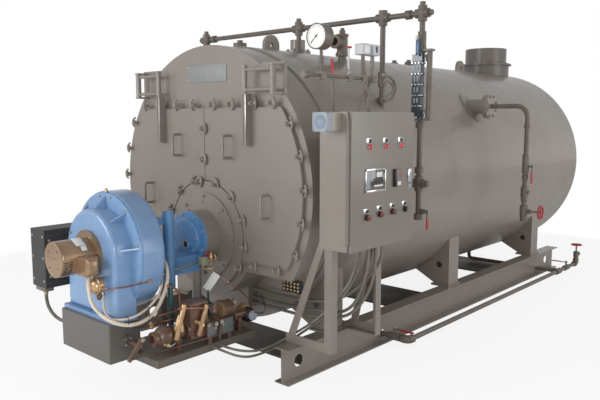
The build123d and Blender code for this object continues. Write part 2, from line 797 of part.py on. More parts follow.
# Gas train: globe valve, safety shut-off valve, governor and regulator on one line
train = disc_y(gas_x, gas_z, gas_pipe_r, *gas_y)
for y0, y1, radius in gas_rounds:
    train += disc_y(gas_x, gas_z, radius, y0, y1)
train += Pos(gas_x, globe_y, gas_z) * Sphere(globe_r)
half_w, y0, y1, z0, z1 = safety_box
valve_body = block(gas_x - half_w, gas_x + half_w, y0, y1, z0, z1)
train += fillet(valve_body.edges().group_by(Axis.Z)[-1], safety_box_edge)
train += disc_y(gas_x, governor_z, governor_r, *governor_y)
train += disc_y(gas_x, governor_z, governor_rim[1], governor_y[0], governor_y[0] + governor_rim[0])
for x0, x1, radius in regulator_steps:
    train += rod_x(x0, x1, regulator_y, regulator_z, radius)
for y in gas_saddles:
    train += block(gas_x - gas_saddle_w / 2, gas_x + gas_saddle_w / 2, y - gas_saddle_w / 2,
                   y + gas_saddle_w / 2, shelf_z + shelf_t, gas_z)
for arm in (brass_front, brass_rear):
    train += rod_x(gas_x, brass_x[0] - seat_gap, *arm[1], brass_boss_r)
train -= disc_y(gas_x, gas_z, gas_bore_r, gas_y[0], gas_y[0] + gas_socket)
save("gas_train", train)
riser = bent_pipe([(riser_x, riser_y, duct_z[0]), (riser_x, riser_y, gas_z),
                   (gas_x, riser_y, gas_z)], riser_r, 1.6 * riser_r)
save("gas_riser", riser - train)


# Gas actuator and the linkages: a flat arm has two round ends joined by its straight sides
def flat_arm(x_span, ends, radii):
    (ya, za), (yb, zb) = ends
    length = sqrt((yb - ya) ** 2 + (zb - za) ** 2)
    uy = (yb - ya) / length
    uz = (zb - za) / length
    ra, rb = radii
    outline = Polyline((ya - uz * ra, za + uy * ra), (yb - uz * rb, zb + uy * rb),
                       (yb + uz * rb, zb - uy * rb), (ya + uz * ra, za - uy * ra), close=True)
    arm = extrude(Plane.YZ.offset(x_span[0]) * make_face(outline), amount=x_span[1] - x_span[0])
    return arm + rod_x(*x_span, ya, za, ra) + rod_x(*x_span, yb, zb, rb)


def mid(span):
    return sum(span) / 2


drive = block(*plate_x, *plate_y, *plate_z)
for y in plate_feet:
    drive += block(*plate_x, y - plate_foot_w / 2, y + plate_foot_w / 2, shelf_z + shelf_t, plate_z[0])
drive += rod_x(plate_x[0], drive_hub_x, *drive_hub_spot, drive_hub_r)
drive += rod_x(plate_x[0], drive_arm_x[1], *drive_arm[0], drive_arm_r[0])
drive += flat_arm(drive_arm_x, drive_arm, drive_arm_r)
drive += flat_arm(damper_arm_x, damper_arm, damper_arm_r)
drive += rod_x(inlet_half_w + damper_boss + seat_gap, damper_arm_x[1], damper_y, damper_z,
               damper_shaft_r)
drive += rod((mid(damper_arm_x), *damper_arm[1]), (mid(drive_arm_x), drive_arm[1][0], drive_rod_z),
             drive_rod_r)
linkage = flat_arm(brass_x, brass_front, brass_arm_r) + flat_arm(brass_x, brass_rear, brass_arm_r)
linkage += rod((mid(brass_x), *tie_rod[0]), (mid(brass_x), *tie_rod[1]), tie_rod_r)
save("gas_actuator", drive, linkage)

# Control panel: a hollow box, open to +X, with a shallow pan for a door
box_x1 = panel_x1 - panel_door_rim - panel_door_t - panel_door_gap
cabinet = block(panel_x0, box_x1, panel_y0, panel_y1, panel_z0, panel_z1)
cabinet -= block(panel_x0 + panel_wall, box_x1 - panel_wall, panel_y0 + panel_wall,
                 panel_y1 - panel_wall, panel_z0 + panel_wall, panel_z1 - panel_wall)
cabinet -= block(box_x1 - 2 * panel_wall, box_x1, panel_y0 + panel_lip, panel_y1 - panel_lip,
                 panel_z0 + panel_lip, panel_z1 - panel_lip)
hinge_x = box_x1 + panel_door_gap
hinge_y = panel_y0 - panel_hinge_r - panel_hinge_gap
leaf_y = (hinge_y - knuckle_gap, hinge_y + knuckle_gap)
knuckle_low = (panel_z0 + knuckle_inset, panel_z0 + knuckle_inset + knuckle_len)
knuckle_high = (panel_z1 - knuckle_inset - knuckle_len, panel_z1 - knuckle_inset)
for z0, z1 in (knuckle_low, knuckle_high):
    cabinet += rod_z(hinge_x, hinge_y, z0, z1, panel_hinge_r)
    cabinet += block(hinge_x - knuckle_leaf, hinge_x, *leaf_y, z0, z1)
    cabinet += block(hinge_x - knuckle_leaf, box_x1 - knuckle_gap, leaf_y[0], panel_y0, z0, z1)
cabinet += rod_z(hinge_x, hinge_y, knuckle_low[0], knuckle_high[1], hinge_pin_r)
save("panel_box", cabinet)

pan = block(hinge_x, panel_x1, panel_y0, panel_y1, panel_z0, panel_z1)
pan -= block(hinge_x, panel_x1 - panel_door_t, panel_y0 + panel_door_t, panel_y1 - panel_door_t,
             panel_z0 + panel_door_t, panel_z1 - panel_door_t)
door_knuckle = (knuckle_low[1] + knuckle_gap, knuckle_high[0] - knuckle_gap)
pan += rod_z(hinge_x, hinge_y, *door_knuckle, panel_hinge_r)
pan += block(hinge_x, hinge_x + knuckle_step, leaf_y[0], panel_y0, *door_knuckle)
pan -= rod_z(hinge_x, hinge_y, panel_z0, panel_z1, hinge_pin_r + pin_clearance)
save("panel_door", pan)


# Panel stand: two frames of angle, each a foot on the beam, a post and a brace
def stand_frame(web_y, flat_y, foot_x):
    # web_y is the span of the upright leg of the angles, flat_y that of the whole angle
    post_x = panel_x0 - angle_w
    frame = block(foot_x, panel_x0, *web_y, beam_h, beam_h + angle_w)
    frame += block(foot_x, panel_x0, *flat_y, beam_h, beam_h + angle_t)
    frame += block(post_x, panel_x0, *web_y, beam_h, stand_top_z)
    frame += block(panel_x0 - angle_t, panel_x0, *flat_y, beam_h, stand_top_z)
    brace = make_face(Polyline((foot_x, beam_h), (foot_x + angle_w, beam_h),
                               (panel_x0 - angle_t, brace_top_z), (post_x, brace_top_z), close=True))
    return frame + prism_y(brace, *web_y)


stand_y2 = stand_y1 + angle_w
stand = stand_frame((stand_y0, stand_y0 + angle_t), (stand_y0, stand_y0 + angle_w), stand_inner_x)
stand += stand_frame((stand_y2 - angle_t, stand_y2), (stand_y1, stand_y2), stand_rear_x)
for z in (panel_z0 + stand_tie_inset, stand_top_z - angle_w):
    stand += block(panel_x0 - angle_t, panel_x0, stand_y0, stand_y2, z, z + angle_w)
save("panel_stand", stand)

# Alarm horn on the front side of the panel
half_horn = horn_size / 2
horn_y = panel_y0 - horn_base
horn = block(horn_x - half_horn, horn_x + half_horn, horn_y - horn_cap, horn_y,
             horn_z - half_horn, horn_z + half_horn)
horn = fillet(horn.edges().filter_by(Axis.Y), horn_edge)
horn += block(horn_x - half_horn, horn_x + half_horn, horn_y, panel_y0,
              horn_z - half_horn + horn_step, horn_z + half_horn - horn_step)
save("alarm_horn", horn)


# Screwed pipework helpers: a socket is a short thick ring, a cross has four arms
def socket_x(x, y, z, half):
    return rod_x(x - half, x + half, y, z, fitting_r)


def socket_z(x, y, z, half):
    return rod_z(x, y, z - half, z + half, fitting_r)


def plug(x, y, z, direction):
    a = Vector(x, y, z)
    return rod(tuple(a), tuple(a + Vector(*direction) * plug_len), plug_r)


shell_cut = disc_y(0, axis_z, shell_r, 0, shell_end_y)
arm = fitting_arm

# Steam header over the crown with its riser, drop and two end crosses
drop_foot_z = axis_z + half_chord(shell_r, drop_x)
header = rod_x(-header_x, header_x, header_y, header_z, header_r)
header += rod_z(0, header_y, crown_z - header_dip, header_z, header_r)
header += rod_z(drop_x, header_y, drop_foot_z - header_dip, header_z, header_r)
for x in (-header_x, 0, drop_x, header_x):
    header += socket_x(x, header_y, header_z, arm)
    header += socket_z(x, header_y, header_z, arm)
for x in (-header_x, 0, header_x):
    header += plug(x, header_y, header_z + arm, (0, 0, 1))
for side in (-1, 1):
    header += plug(side * (header_x + arm), header_y, header_z, (side, 0, 0))
    header += socket_x(side * (header_x - coupling_inset), header_y, header_z, coupling_half)
header += socket_z(0, header_y, crown_z, 2 * coupling_half)
header += socket_z(drop_x, header_y, drop_tee_z, arm)
header += socket_z(drop_x, header_y, drop_foot_z + drop_union_rise, coupling_half)
save("steam_header", header - shell_cut)

# Steam outlet nozzle, lifting lugs and shell plugs on the crown
steam_x, steam_y = steam_spot
nozzle = rod_z(steam_x, steam_y, axis_z, steam_top_z, steam_body_r)
nozzle += rod_z(steam_x, steam_y, steam_low_z, steam_low_z + steam_flange_t, steam_flange_r)
nozzle -= rod_z(steam_x, steam_y, steam_top_z - steam_bore_depth, steam_top_z, steam_bore_r)
save("steam_nozzle", nozzle - shell_cut)


def lug(y):
    eye_z = crown_z + lug_eye
    sheet = Pos(y, eye_z) * Circle(lug_r)
    sheet += Pos(y, eye_z - lug_r / 2) * Rectangle(2 * lug_r, lug_r)
    sheet -= Pos(y, eye_z) * Circle(lug_hole_r)
    return extrude(Plane.YZ * sheet, amount=lug_t / 2, both=True)


save("lifting_lugs", *[lug(y) - shell_cut for y in lug_y_spots])
plugs = []
for y, radius, height in plug_spots:
    fitting = rod_z(0, y, axis_z, crown_z + height, radius)
    fitting += rod_z(0, y, crown_z, crown_z + height + plug_head_h, plug_head_r)
    plugs.append(fitting - shell_cut)
save("shell_plugs", *plugs)

# Safety valve beside the crown, with its outlet facing the front
valve_x, valve_y = safety_spot
valve_low_z = axis_z + half_chord(shell_r, valve_x)
outlet_z = valve_low_z + safety_out_rise
safety = disc_y(valve_x, outlet_z, safety_out_r, valve_y - safety_out_face, valve_y)
safety += disc_y(valve_x, outlet_z, safety_out_flange[1], valve_y - safety_out_face,
                 valve_y - safety_out_face + safety_out_flange[0])
for z0, z1, radius in safety_rounds:
    safety += rod_z(valve_x, valve_y, valve_low_z + z0, valve_low_z + z1, radius)
safety -= disc_y(valve_x, outlet_z, safety_bore_r, valve_y - safety_out_face,
                 valve_y - safety_out_face + safety_bore_len)
save("safety_valve", safety - shell_cut)


# Water columns: the gauge column on the right, a plain one on the left
def column_base(side):
    x = side * header_x
    pipe = rod_z(x, header_y, column_top_z, header_z - arm, header_r)
    pipe += rod_z(x, header_y, drain_z, column_low_z, header_r)
    pipe += rod((x, header_y, tee_z), (side * (shell_r - header_dip), header_y, tee_z), header_r)
    pipe += socket_z(x, header_y, tee_z, arm) + socket_x(x, header_y, tee_z, arm)
    pipe += plug(x + side * arm, header_y, tee_z, (side, 0, 0))
    pipe += socket_z(x, header_y, column_low_z - arm, coupling_half)
    pipe += socket_z(x, header_y, tee_z + arm + 2 * coupling_half, coupling_half)
    pipe += socket_z(x, header_y, drain_z, coupling_half)
    return pipe


drain_valve_z = drain_z + drain_valve_rise
block_half, block_reach, block_t = column_block
valve_down, valve_up, valve_r = top_valve_body
right_column = column_base(1)
right_column += rod_z(header_x, header_y, top_valve_z + valve_down, top_valve_z + valve_up, valve_r)
right_column += rod_z(column_back_x, header_y, column_low_z - block_reach,
                      column_top_z + column_back_over, header_r)
for z in column_block_z:
    right_column += block(header_x - block_half, column_back_x + block_reach,
                          header_y - block_half, header_y + block_half, z, z + block_t)
right_column += socket_z(header_x, header_y, column_top_z + block_reach, coupling_half)
right_column += rod((header_x, header_y, top_valve_z),
                    (header_x, header_y - stem_reach, top_valve_z), stem_r)
right_column += rod_x(header_x, header_x + drain_valve_body[0], header_y, drain_valve_z,
                      drain_valve_body[1])
right_column += rod_x(header_x, header_x + drain_stem_end, header_y, drain_valve_z, stem_r)
left_column = column_base(-1)
left_column += rod_z(-header_x, header_y, column_low_z, column_top_z, column_body_r)
save("left_column", left_column - shell_cut)

glass = block(*glass_x, *glass_y, glass_z[0] + glass_lap, glass_z[1] - glass_lap)
clamp_x, clamp_front, clamp_rear = glass_clamp_out
for z in (glass_z[0], glass_z[1] - glass_clamp):
    glass += block(glass_x[0], glass_x[1] + clamp_x, glass_y[0] - clamp_front,
                   glass_y[1] + clamp_rear, z, z + glass_clamp)
glass += rod_z(header_x, header_y, column_low_z - block_t, glass_z[0], glass_nipple_r)
glass += rod_z(header_x, header_y, glass_z[1], column_top_z + block_t, glass_nipple_r)
save("gauge_glass", glass)
save("water_column_pipe", right_column - shell_cut - glass)


# Lever of a ball valve: a hub on the stem and a flat arm
def lever(at, axis, arm_dir, length):
    a = Vector(*at)
    n = Vector(*axis)
    hub = rod(tuple(a), tuple(a + n * (lever_t + lever_hub_over)), lever_hub_r)
    plane = Plane(origin=a + n * lever_lift, x_dir=Vector(*arm_dir), z_dir=n)
    strip = plane * (Pos(length / 2, 0, lever_t / 2) * Box(length, lever_w, lever_t))
    return hub + strip


column_stem_y = header_y - stem_reach - lever_gap
save("column_valve_lever",
     lever((header_x, column_stem_y, top_valve_z), (0, -1, 0), (0, 0, -1), column_valve_arm))
drain_stem_x = header_x + drain_stem_end + lever_gap
save("column_drain_lever",
     lever((drain_stem_x, header_y, drain_valve_z), (1, 0, 0), (0, 0, -1), column_drain_arm))

# Gauge manifold on its post over the panel, with gauge and two pressure switches
foot_back, foot_front, foot_half, foot_plate = post_foot
manifold = rod_z(manifold_x, post_y, panel_z1, manifold_z, post_r)
manifold += block(manifold_x + foot_back, manifold_x + foot_front, post_y - foot_half,
                  post_y + foot_half, panel_z1, panel_z1 + foot_plate)
manifold += disc_y(manifold_x, manifold_z, manifold_r, *manifold_y)
end_r, end_out, end_in = manifold_end
manifold += disc_y(manifold_x, manifold_z, end_r, manifold_y[0] - end_out, manifold_y[0] + end_in)
for y in manifold_blocks:
    manifold += cube(manifold_x, y, manifold_z, manifold_block)
save("gauge_manifold", manifold)

stem_z0 = manifold_z + manifold_block
gauge = disc_y(manifold_x, gauge_z, gauge_r, gauge_y, gauge_y + gauge_depth)
gauge += rod_z(manifold_x, gauge_stem_y, stem_z0, gauge_z, gauge_stem_r)
nut_low, nut_high, nut_r = gauge_nut
gauge += rod_z(manifold_x, gauge_stem_y, manifold_z + nut_low, manifold_z + nut_high, nut_r)
save("pressure_gauge", gauge)

switches = []
size_x, size_y, size_z = switch_size
switch_z = manifold_z + switch_rise
for y in switch_y:
    body = block(manifold_x - size_x / 2, manifold_x + size_x / 2, y - size_y / 2, y + size_y / 2,
                 switch_z, switch_z + size_z)
    switches.append(body + rod_z(manifold_x, y, stem_z0, switch_z, switch_stem_r))
save("pressure_switches", *switches)

# Feed water nozzle and line with its valves
pad = rod_x(0, nozzle_face_x, nozzle_y, nozzle_z, nozzle_pad_r)
pad = pad & disc_y(0, axis_z, shell_r + nozzle_pad_t, nozzle_y - 2 * nozzle_pad_r,
                   nozzle_y + 2 * nozzle_pad_r)
neck = rod_x(0, nozzle_face_x, nozzle_y, nozzle_z, nozzle_r)
for step in (0, 1):
    x1 = nozzle_face_x - step * (nozzle_flange_t + flange_gasket)
    neck += rod_x(x1 - nozzle_flange_t, x1, nozzle_y, nozzle_z, nozzle_flange_r - step * flange_step)
save("feed_nozzle", (pad + neck) - shell_cut)

feed_end_z = nozzle_z - feed_drop
feed_ball_z = nozzle_z - feed_ball_drop
feed_globe_z = nozzle_z - feed_globe_drop
feed = bent_pipe([(nozzle_face_x, nozzle_y, nozzle_z), (feed_x, nozzle_y, nozzle_z),
                  (feed_x, nozzle_y, feed_end_z)], feed_r, feed_bend)
for drop, half, radius in feed_fittings:
    feed += rod_z(feed_x, nozzle_y, nozzle_z - drop - half, nozzle_z - drop + half, radius)
for z, reach, radius in ((feed_ball_z, stem_reach, stem_r), (feed_globe_z, wheel_reach, globe_stem_r),
                         (feed_globe_z, *globe_bonnet), (nozzle_z - feed_check_drop, *check_cap)):
    feed += rod_x(feed_x, feed_x + reach, nozzle_y, z, radius)
feed -= rod_z(feed_x, nozzle_y, feed_end_z, feed_end_z + feed_socket_len, feed_bore_r)
save("feed_pipe", feed)
save("feed_valve_lever",
     lever((feed_x + stem_reach + lever_gap, nozzle_y, feed_ball_z), (1, 0, 0), (0, 0, -1),
           feed_valve_arm))


# Handwheel: rim, hub and spokes about a given axis
def handwheel(at, axis, radius):
    reach = radius - wheel_rim_r
    wheel = Torus(reach, wheel_rim_r) + Cylinder(wheel_hub_r, wheel_hub_h)
    for step in range(wheel_spokes):
        turn = Rot(0, 0, 360 * step / wheel_spokes)
        wheel += turn * (Pos(reach / 2, 0, 0) * Box(reach, *wheel_spoke))
    return Plane(origin=at, z_dir=axis) * wheel


wheel_out = wheel_hub_h / 2 + lever_gap
save("feed_handwheel", handwheel((feed_x + wheel_reach + wheel_out, nozzle_y, feed_globe_z),
                                 (1, 0, 0), feed_wheel_r))


# Blow-down line: two drains from the belly, one run along the right beam and a riser
def drain_rod(start, end, radius):
    return rod((*start, drain_pipe_z), (*end, drain_pipe_z), radius)


belly_z = belly_clear + belly_overlap
elbow_z = drain_pipe_z + elbow_len
drain = bent_pipe([(0, front_drain_y, belly_z), (0, front_drain_y, drain_pipe_z),
                   (drain_x, front_drain_y, drain_pipe_z), (drain_x, drain_end_y, drain_pipe_z),
                   (drain_x, drain_end_y, drain_riser_z)], drain_pipe_r, elbow_bend)
drain += bent_pipe([(0, rear_drain_y, belly_z), (0, rear_drain_y, drain_pipe_z),
                    (drain_x - fitting_r, rear_drain_y, drain_pipe_z)], drain_pipe_r, elbow_bend)
for corner in ([(drain_x - elbow_len, front_drain_y, drain_pipe_z),
                (drain_x, front_drain_y, drain_pipe_z),
                (drain_x, front_drain_y + elbow_len, drain_pipe_z)],
               [(drain_x, drain_end_y - elbow_len, drain_pipe_z),
                (drain_x, drain_end_y, drain_pipe_z), (drain_x, drain_end_y, elbow_z)]):
    drain += bent_pipe(corner, fitting_r, elbow_bend)
drain += drain_rod((drain_x, rear_drain_y - arm), (drain_x, rear_drain_y + arm), fitting_r)
drain += drain_rod((drain_x - arm, rear_drain_y), (drain_x, rear_drain_y), fitting_r - drain_tee_trim)
drain += drain_rod((front_valve_x - drain_valve_half, front_drain_y),
                   (front_valve_x + drain_valve_half, front_drain_y), drain_valve_r)
drain += drain_rod((drain_x, rear_lever_y - drain_valve_half),
                   (drain_x, rear_lever_y + drain_valve_half), drain_valve_r)
for x, y in ((front_valve_x, front_drain_y), (drain_x, rear_lever_y)):
    drain += rod_z(x, y, drain_pipe_z, drain_stem_z, stem_r)
drain += rod_z(drain_x, drain_end_y, elbow_z + elbow_gap, drain_riser_z, drain_valve_r)
drain += rod_z(drain_x, drain_end_y, drain_riser_z, drain_wheel_z, stem_r)
drain_outlet_z = (elbow_z + elbow_gap + drain_riser_z) / 2
drain_outlet_y = drain_end_y + drain_outlet_len
drain += disc_y(drain_x, drain_outlet_z, drain_outlet_r, drain_end_y, drain_outlet_y)
drain -= disc_y(drain_x, drain_outlet_z, drain_bore_r, drain_outlet_y - drain_bore_len,
                drain_outlet_y)
save("blowdown_pipe", drain - shell_cut)
drain_lever_z = drain_stem_z + lever_gap
save("front_drain_lever",
     lever((front_valve_x, front_drain_y, drain_lever_z), (0, 0, 1), (1, 0, 0), front_drain_arm))
save("rear_drain_lever",
     lever((drain_x, rear_lever_y, drain_lever_z), (0, 0, 1), (-1, 0, 0), rear_drain_arm))
save("blowdown_handwheel", handwheel((drain_x, drain_end_y, drain_wheel_z + wheel_out),
                                     (0, 0, 1), drain_wheel_r))


# A conduit is a round tube of straight runs and arcs, each as wide as its runs allow
def corner_radii(points):
    runs = [Vector(*b) - Vector(*a) for a, b in zip(points, points[1:])]
    radii = []
    for a, b in zip(runs, runs[1:]):
        half_turn = radians(a.get_angle(b)) / 2
        radii.append(bend_share * min(a.length, b.length) / tan(half_turn))
    return radii


def tube(points, diameter):
    path = FilletPolyline(*points, radius=corner_radii(points))
    section = Plane(origin=path @ 0, z_dir=path % 0) * Circle(diameter / 2)
    return sweep(section, path), path.length


def cord(name, points, diameter, wall=None):
    solid, length = tube(points, diameter)
    if wall:
        solid -= wall
    share = solid.volume / (length * section_share * diameter ** 2)
    print(name, "radii", [round(r) for r in corner_radii(points)], "length", round(length),
          "volume over section times length", round(share, 3))
    save(name, solid)


# Rigid conduits from the panel to the junction box under the furnace drum
junction = block(*junction_x, *junction_y, junction_low_z, burner_z)
junction -= disc_y(0, burner_z, drum_r, *junction_y)
for route in conduit_routes:
    junction += tube(route, conduit_d)[0]
strip = block(*terminal_strip_x, *terminal_strip_y, face_flat_z - terminal_strip_h, face_flat_z)
save("panel_conduits", junction, strip)

# Free conduits of the burner and of the gas train
cord("motor_conduit", motor_route, motor_conduit_d, outlet_box)
cord("switch_conduit", switch_route, switch_conduit_d, outlet_box)
cord("stand_conduit_front", front_loop, loop_conduit_d)
cord("stand_conduit_rear", rear_loop, loop_conduit_d)
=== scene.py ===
import bpy
from math import radians, sin, cos, pi
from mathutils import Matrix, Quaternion, Vector


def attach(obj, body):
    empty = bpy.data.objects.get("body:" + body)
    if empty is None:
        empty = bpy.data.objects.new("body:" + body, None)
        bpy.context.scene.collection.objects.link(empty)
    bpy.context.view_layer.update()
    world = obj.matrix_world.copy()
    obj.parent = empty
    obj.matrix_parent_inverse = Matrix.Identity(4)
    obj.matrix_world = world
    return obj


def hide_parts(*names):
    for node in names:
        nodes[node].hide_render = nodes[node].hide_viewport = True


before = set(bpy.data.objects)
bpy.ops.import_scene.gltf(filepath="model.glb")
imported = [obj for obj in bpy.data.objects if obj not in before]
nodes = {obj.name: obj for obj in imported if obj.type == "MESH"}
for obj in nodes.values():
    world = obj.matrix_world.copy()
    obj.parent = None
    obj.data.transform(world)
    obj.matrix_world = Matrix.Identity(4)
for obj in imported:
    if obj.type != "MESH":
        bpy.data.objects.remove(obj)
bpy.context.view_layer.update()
print("frame loaded", len(nodes), "nodes")


# Camera at the photograph's place and angle, focal length for a sensor 36 mm wide
cameraView = {"place": (3.0703, -2.5654, 1.4603), "turn": 42.02, "down": 7.13, "lens": 38.78, "sensor": 36}
cameraData = bpy.data.cameras.new("camera")
cameraData.sensor_width = cameraView["sensor"]
cameraData.lens = cameraView["lens"]
cameraObject = bpy.data.objects.new("camera", cameraData)
cameraObject.location = cameraView["place"]
cameraObject.rotation_euler = (radians(90 - cameraView["down"]), 0, radians(cameraView["turn"]))
bpy.context.collection.objects.link(cameraObject)
bpy.context.scene.camera = cameraObject
bpy.context.scene.view_settings.view_transform = "Standard"


# Colours are written as they look on a screen, from 0 to 255
def paintTone(red, green, blue):
    tone = []
    for part in (red, green, blue):
        part /= 255
        tone.append(part / 12.92 if part <= 0.04045 else ((part + 0.055) / 1.055) ** 2.4)
    return (*tone, 1)


# Nodes of a tree: values and links are given by socket
def fillNode(tree, node, values, links):
    for socket, value in values.items():
        node.inputs[socket].default_value = value
    for socket, source in links.items():
        tree.links.new(source, node.inputs[socket])
    return node


def addNode(tree, kind, values={}, links={}):
    return fillNode(tree, tree.nodes.new("ShaderNode" + kind), values, links)


def mathNode(tree, task, first, second=None):
    node = tree.nodes.new("ShaderNodeMath")
    node.operation = task
    for slot, value in ((0, first), (1, second)):
        if isinstance(value, (int, float)):
            node.inputs[slot].default_value = value
        elif value is not None:
            tree.links.new(value, node.inputs[slot])
    return node.outputs[0]


# A colour mix, whose sixth and seventh sockets are its two colours
def mixNode(tree, mask):
    node = tree.nodes.new("ShaderNodeMix")
    node.data_type = "RGBA"
    tree.links.new(mask, node.inputs["Factor"])
    return node


# Shared node groups, built once and placed in each material with their own values.
# An input without a start is a vector, one with four numbers is a colour
def openGroup(name, inputs, outputs):
    group = bpy.data.node_groups.new(name, "ShaderNodeTree")
    for socket, start in inputs.items():
        kind = "Vector" if start is None else "Color" if isinstance(start, tuple) else "Float"
        made = group.interface.new_socket(socket, in_out="INPUT", socket_type="NodeSocket" + kind)
        if start is not None:
            made.default_value = start
    for socket, kind in outputs.items():
        group.interface.new_socket(socket, in_out="OUTPUT", socket_type="NodeSocket" + kind)
    return group, group.nodes.new("NodeGroupInput").outputs, group.nodes.new("NodeGroupOutput")


grey = (0.5, 0.5, 0.5, 1)


def buildToneDrift():
    # slow colour drift over a painted sheet, with a fine speckle on top
    group, start, end = openGroup("toneDrift", {
        "Vector": None, "Tone": grey, "Drift Tone": grey, "Size": 3.0, "Speckle": 0.1}, {"Color": "Color"})
    slow = addNode(group, "TexNoise", {"Detail": 4}, {"Vector": start["Vector"], "Scale": start["Size"]})
    ramp = addNode(group, "MapRange", {"From Min": 0.35, "From Max": 0.68}, {"Value": slow.outputs["Fac"]})
    fine = addNode(group, "TexNoise", {"Scale": 260}, {"Vector": start["Vector"]})
    speckled = mathNode(group, "MULTIPLY", fine.outputs["Fac"], start["Speckle"])
    drifted = mathNode(group, "MULTIPLY", ramp.outputs["Result"], 0.7)
    mix = mixNode(group, mathNode(group, "ADD", drifted, speckled))
    fillNode(group, mix, {}, {6: start["Tone"], 7: start["Drift Tone"]})
    group.links.new(mix.outputs[2], end.inputs["Color"])
    return group


def buildSkinGrain():
    # orange peel of sprayed enamel, or the sand skin of a casting at a larger size
    group, start, end = openGroup("skinGrain", {
        "Vector": None, "Size": 180.0, "Rough Low": 0.3, "Rough High": 0.5},
        {"Height": "Float", "Roughness": "Float"})
    here = {"Vector": start["Vector"]}
    peel = addNode(group, "TexNoise", {"Detail": 3}, here | {"Scale": start["Size"]})
    pits = addNode(group, "TexVoronoi", {}, here | {"Scale": start["Size"]})
    pitted = mathNode(group, "MULTIPLY", pits.outputs["Distance"], 0.35)
    height = mathNode(group, "ADD", peel.outputs["Fac"], pitted)
    smear = addNode(group, "TexNoise", {"Scale": 7, "Detail": 6}, here)
    spread = addNode(group, "MapRange", {"From Min": 0.35, "From Max": 0.7}, {
        "Value": smear.outputs["Fac"], "To Min": start["Rough Low"], "To Max": start["Rough High"]})
    fillNode(group, end, {}, {"Height": height, "Roughness": spread.outputs["Result"]})
    return group


def buildSettledDust():
    # a thin layer of dust on what faces up, broken by noise
    group, start, end = openGroup("settledDust", {
        "Vector": None, "Normal": None, "Tone": grey, "Amount": 0.2}, {"Color": "Color"})
    split = addNode(group, "SeparateXYZ", {}, {"Vector": start["Normal"]})
    facing = addNode(group, "MapRange", {"From Min": 0.45, "From Max": 1.0}, {"Value": split.outputs["Z"]})
    cloud = addNode(group, "TexNoise", {"Scale": 14, "Detail": 5}, {"Vector": start["Vector"]})
    broken = mathNode(group, "MULTIPLY", facing.outputs["Result"], cloud.outputs["Fac"])
    mix = mixNode(group, mathNode(group, "MULTIPLY", broken, start["Amount"]))
    fillNode(group, mix, {7: paintTone(178, 170, 158)}, {6: start["Tone"]})
    group.links.new(mix.outputs[2], end.inputs["Color"])
    return group


def buildConduitRibs():
    # the rings of a flexible conduit, counted along its own length
    group, start, end = openGroup("conduitRibs", {"Vector": None, "Rings": 100.0}, {"Height": "Float"})
    split = addNode(group, "SeparateXYZ", {}, {"Vector": start["Vector"]})
    rings = mathNode(group, "MULTIPLY", split.outputs["X"], start["Rings"])
    turns = mathNode(group, "MULTIPLY", rings, 2 * pi)
    lifted = mathNode(group, "ADD", mathNode(group, "SINE", turns), 1.0)
    group.links.new(mathNode(group, "MULTIPLY", lifted, 0.5), end.inputs["Height"])
    return group


toneDrift = buildToneDrift()
skinGrain = buildSkinGrain()
settledDust = buildSettledDust()
conduitRibs = buildConduitRibs()


def placeGroup(tree, group, values, links):
    node = tree.nodes.new("ShaderNodeGroup")
    node.node_tree = group
    return fillNode(tree, node, values, links)


# One finish: tone, drift tone, grain size, bump, roughness span, dust and the shader's own values
bumpDepth = {"skin": 0.001, "rings": 0.0009}


def makeFinish(name, tone, drift, size=20, speckle=0.12, grain=260, bump=0.1, rough=(0.35, 0.5),
               dust=0.12, metallic=0.0, coat=0.0, coatRough=0.1, rings=0):
    material = bpy.data.materials.new(name)
    material.use_nodes = True
    tree = material.node_tree
    place = addNode(tree, "TexCoord").outputs
    here = {"Vector": place["Object"]}
    colour = placeGroup(tree, toneDrift, {"Tone": paintTone(*tone), "Drift Tone": paintTone(*drift),
                                          "Size": size, "Speckle": speckle}, here)
    low, high = rough
    grained = placeGroup(tree, skinGrain, {"Size": grain, "Rough Low": low, "Rough High": high}, here)
    facing = addNode(tree, "NewGeometry").outputs["Normal"]
    dusted = placeGroup(tree, settledDust, {"Amount": dust},
                        here | {"Normal": facing, "Tone": colour.outputs["Color"]})
    last = addNode(tree, "Bump", {"Strength": bump, "Distance": bumpDepth["skin"]},
                   {"Height": grained.outputs["Height"]})
    if rings:
        ribs = placeGroup(tree, conduitRibs, {"Rings": rings}, {"Vector": place["UV"]})
        last = addNode(tree, "Bump", {"Strength": 0.9, "Distance": bumpDepth["rings"]},
                       {"Height": ribs.outputs["Height"], "Normal": last.outputs["Normal"]})
    fillNode(tree, tree.nodes["Principled BSDF"],
             {"Metallic": metallic, "Coat Weight": coat, "Coat Roughness": coatRough},
             {"Base Color": dusted.outputs["Color"], "Roughness": grained.outputs["Roughness"],
              "Normal": last.outputs["Normal"]})
    return material


bodyPaint = makeFinish("bodyPaint", (140, 131, 123), (133, 124, 116), size=1.6, grain=240, bump=0.05,
                       rough=(0.3, 0.42), coat=0.45, coatRough=0.15)
pipePaint = makeFinish("pipePaint", (118, 109, 101), (98, 89, 82), size=9, grain=300, bump=0.15)
fanBlue = makeFinish("fanBlue", (130, 163, 202), (120, 153, 194), size=4, grain=300, bump=0.06,
                     rough=(0.22, 0.34), dust=0.1, coat=0.5, coatRough=0.12)
headBlue = makeFinish("headBlue", (100, 150, 200), (90, 138, 190), size=5, grain=220, rough=(0.25, 0.38),
                      dust=0.08, coat=0.4, coatRough=0.15)
motorBronze = makeFinish("motorBronze", (166, 136, 106), (138, 112, 86), size=10, bump=0.16,
                         rough=(0.2, 0.32), dust=0.1, metallic=0.4, coat=0.4)
controlGrey = makeFinish("controlGrey", (64, 63, 62), (54, 53, 53), size=5, grain=420, bump=0.25,
                         rough=(0.45, 0.6))
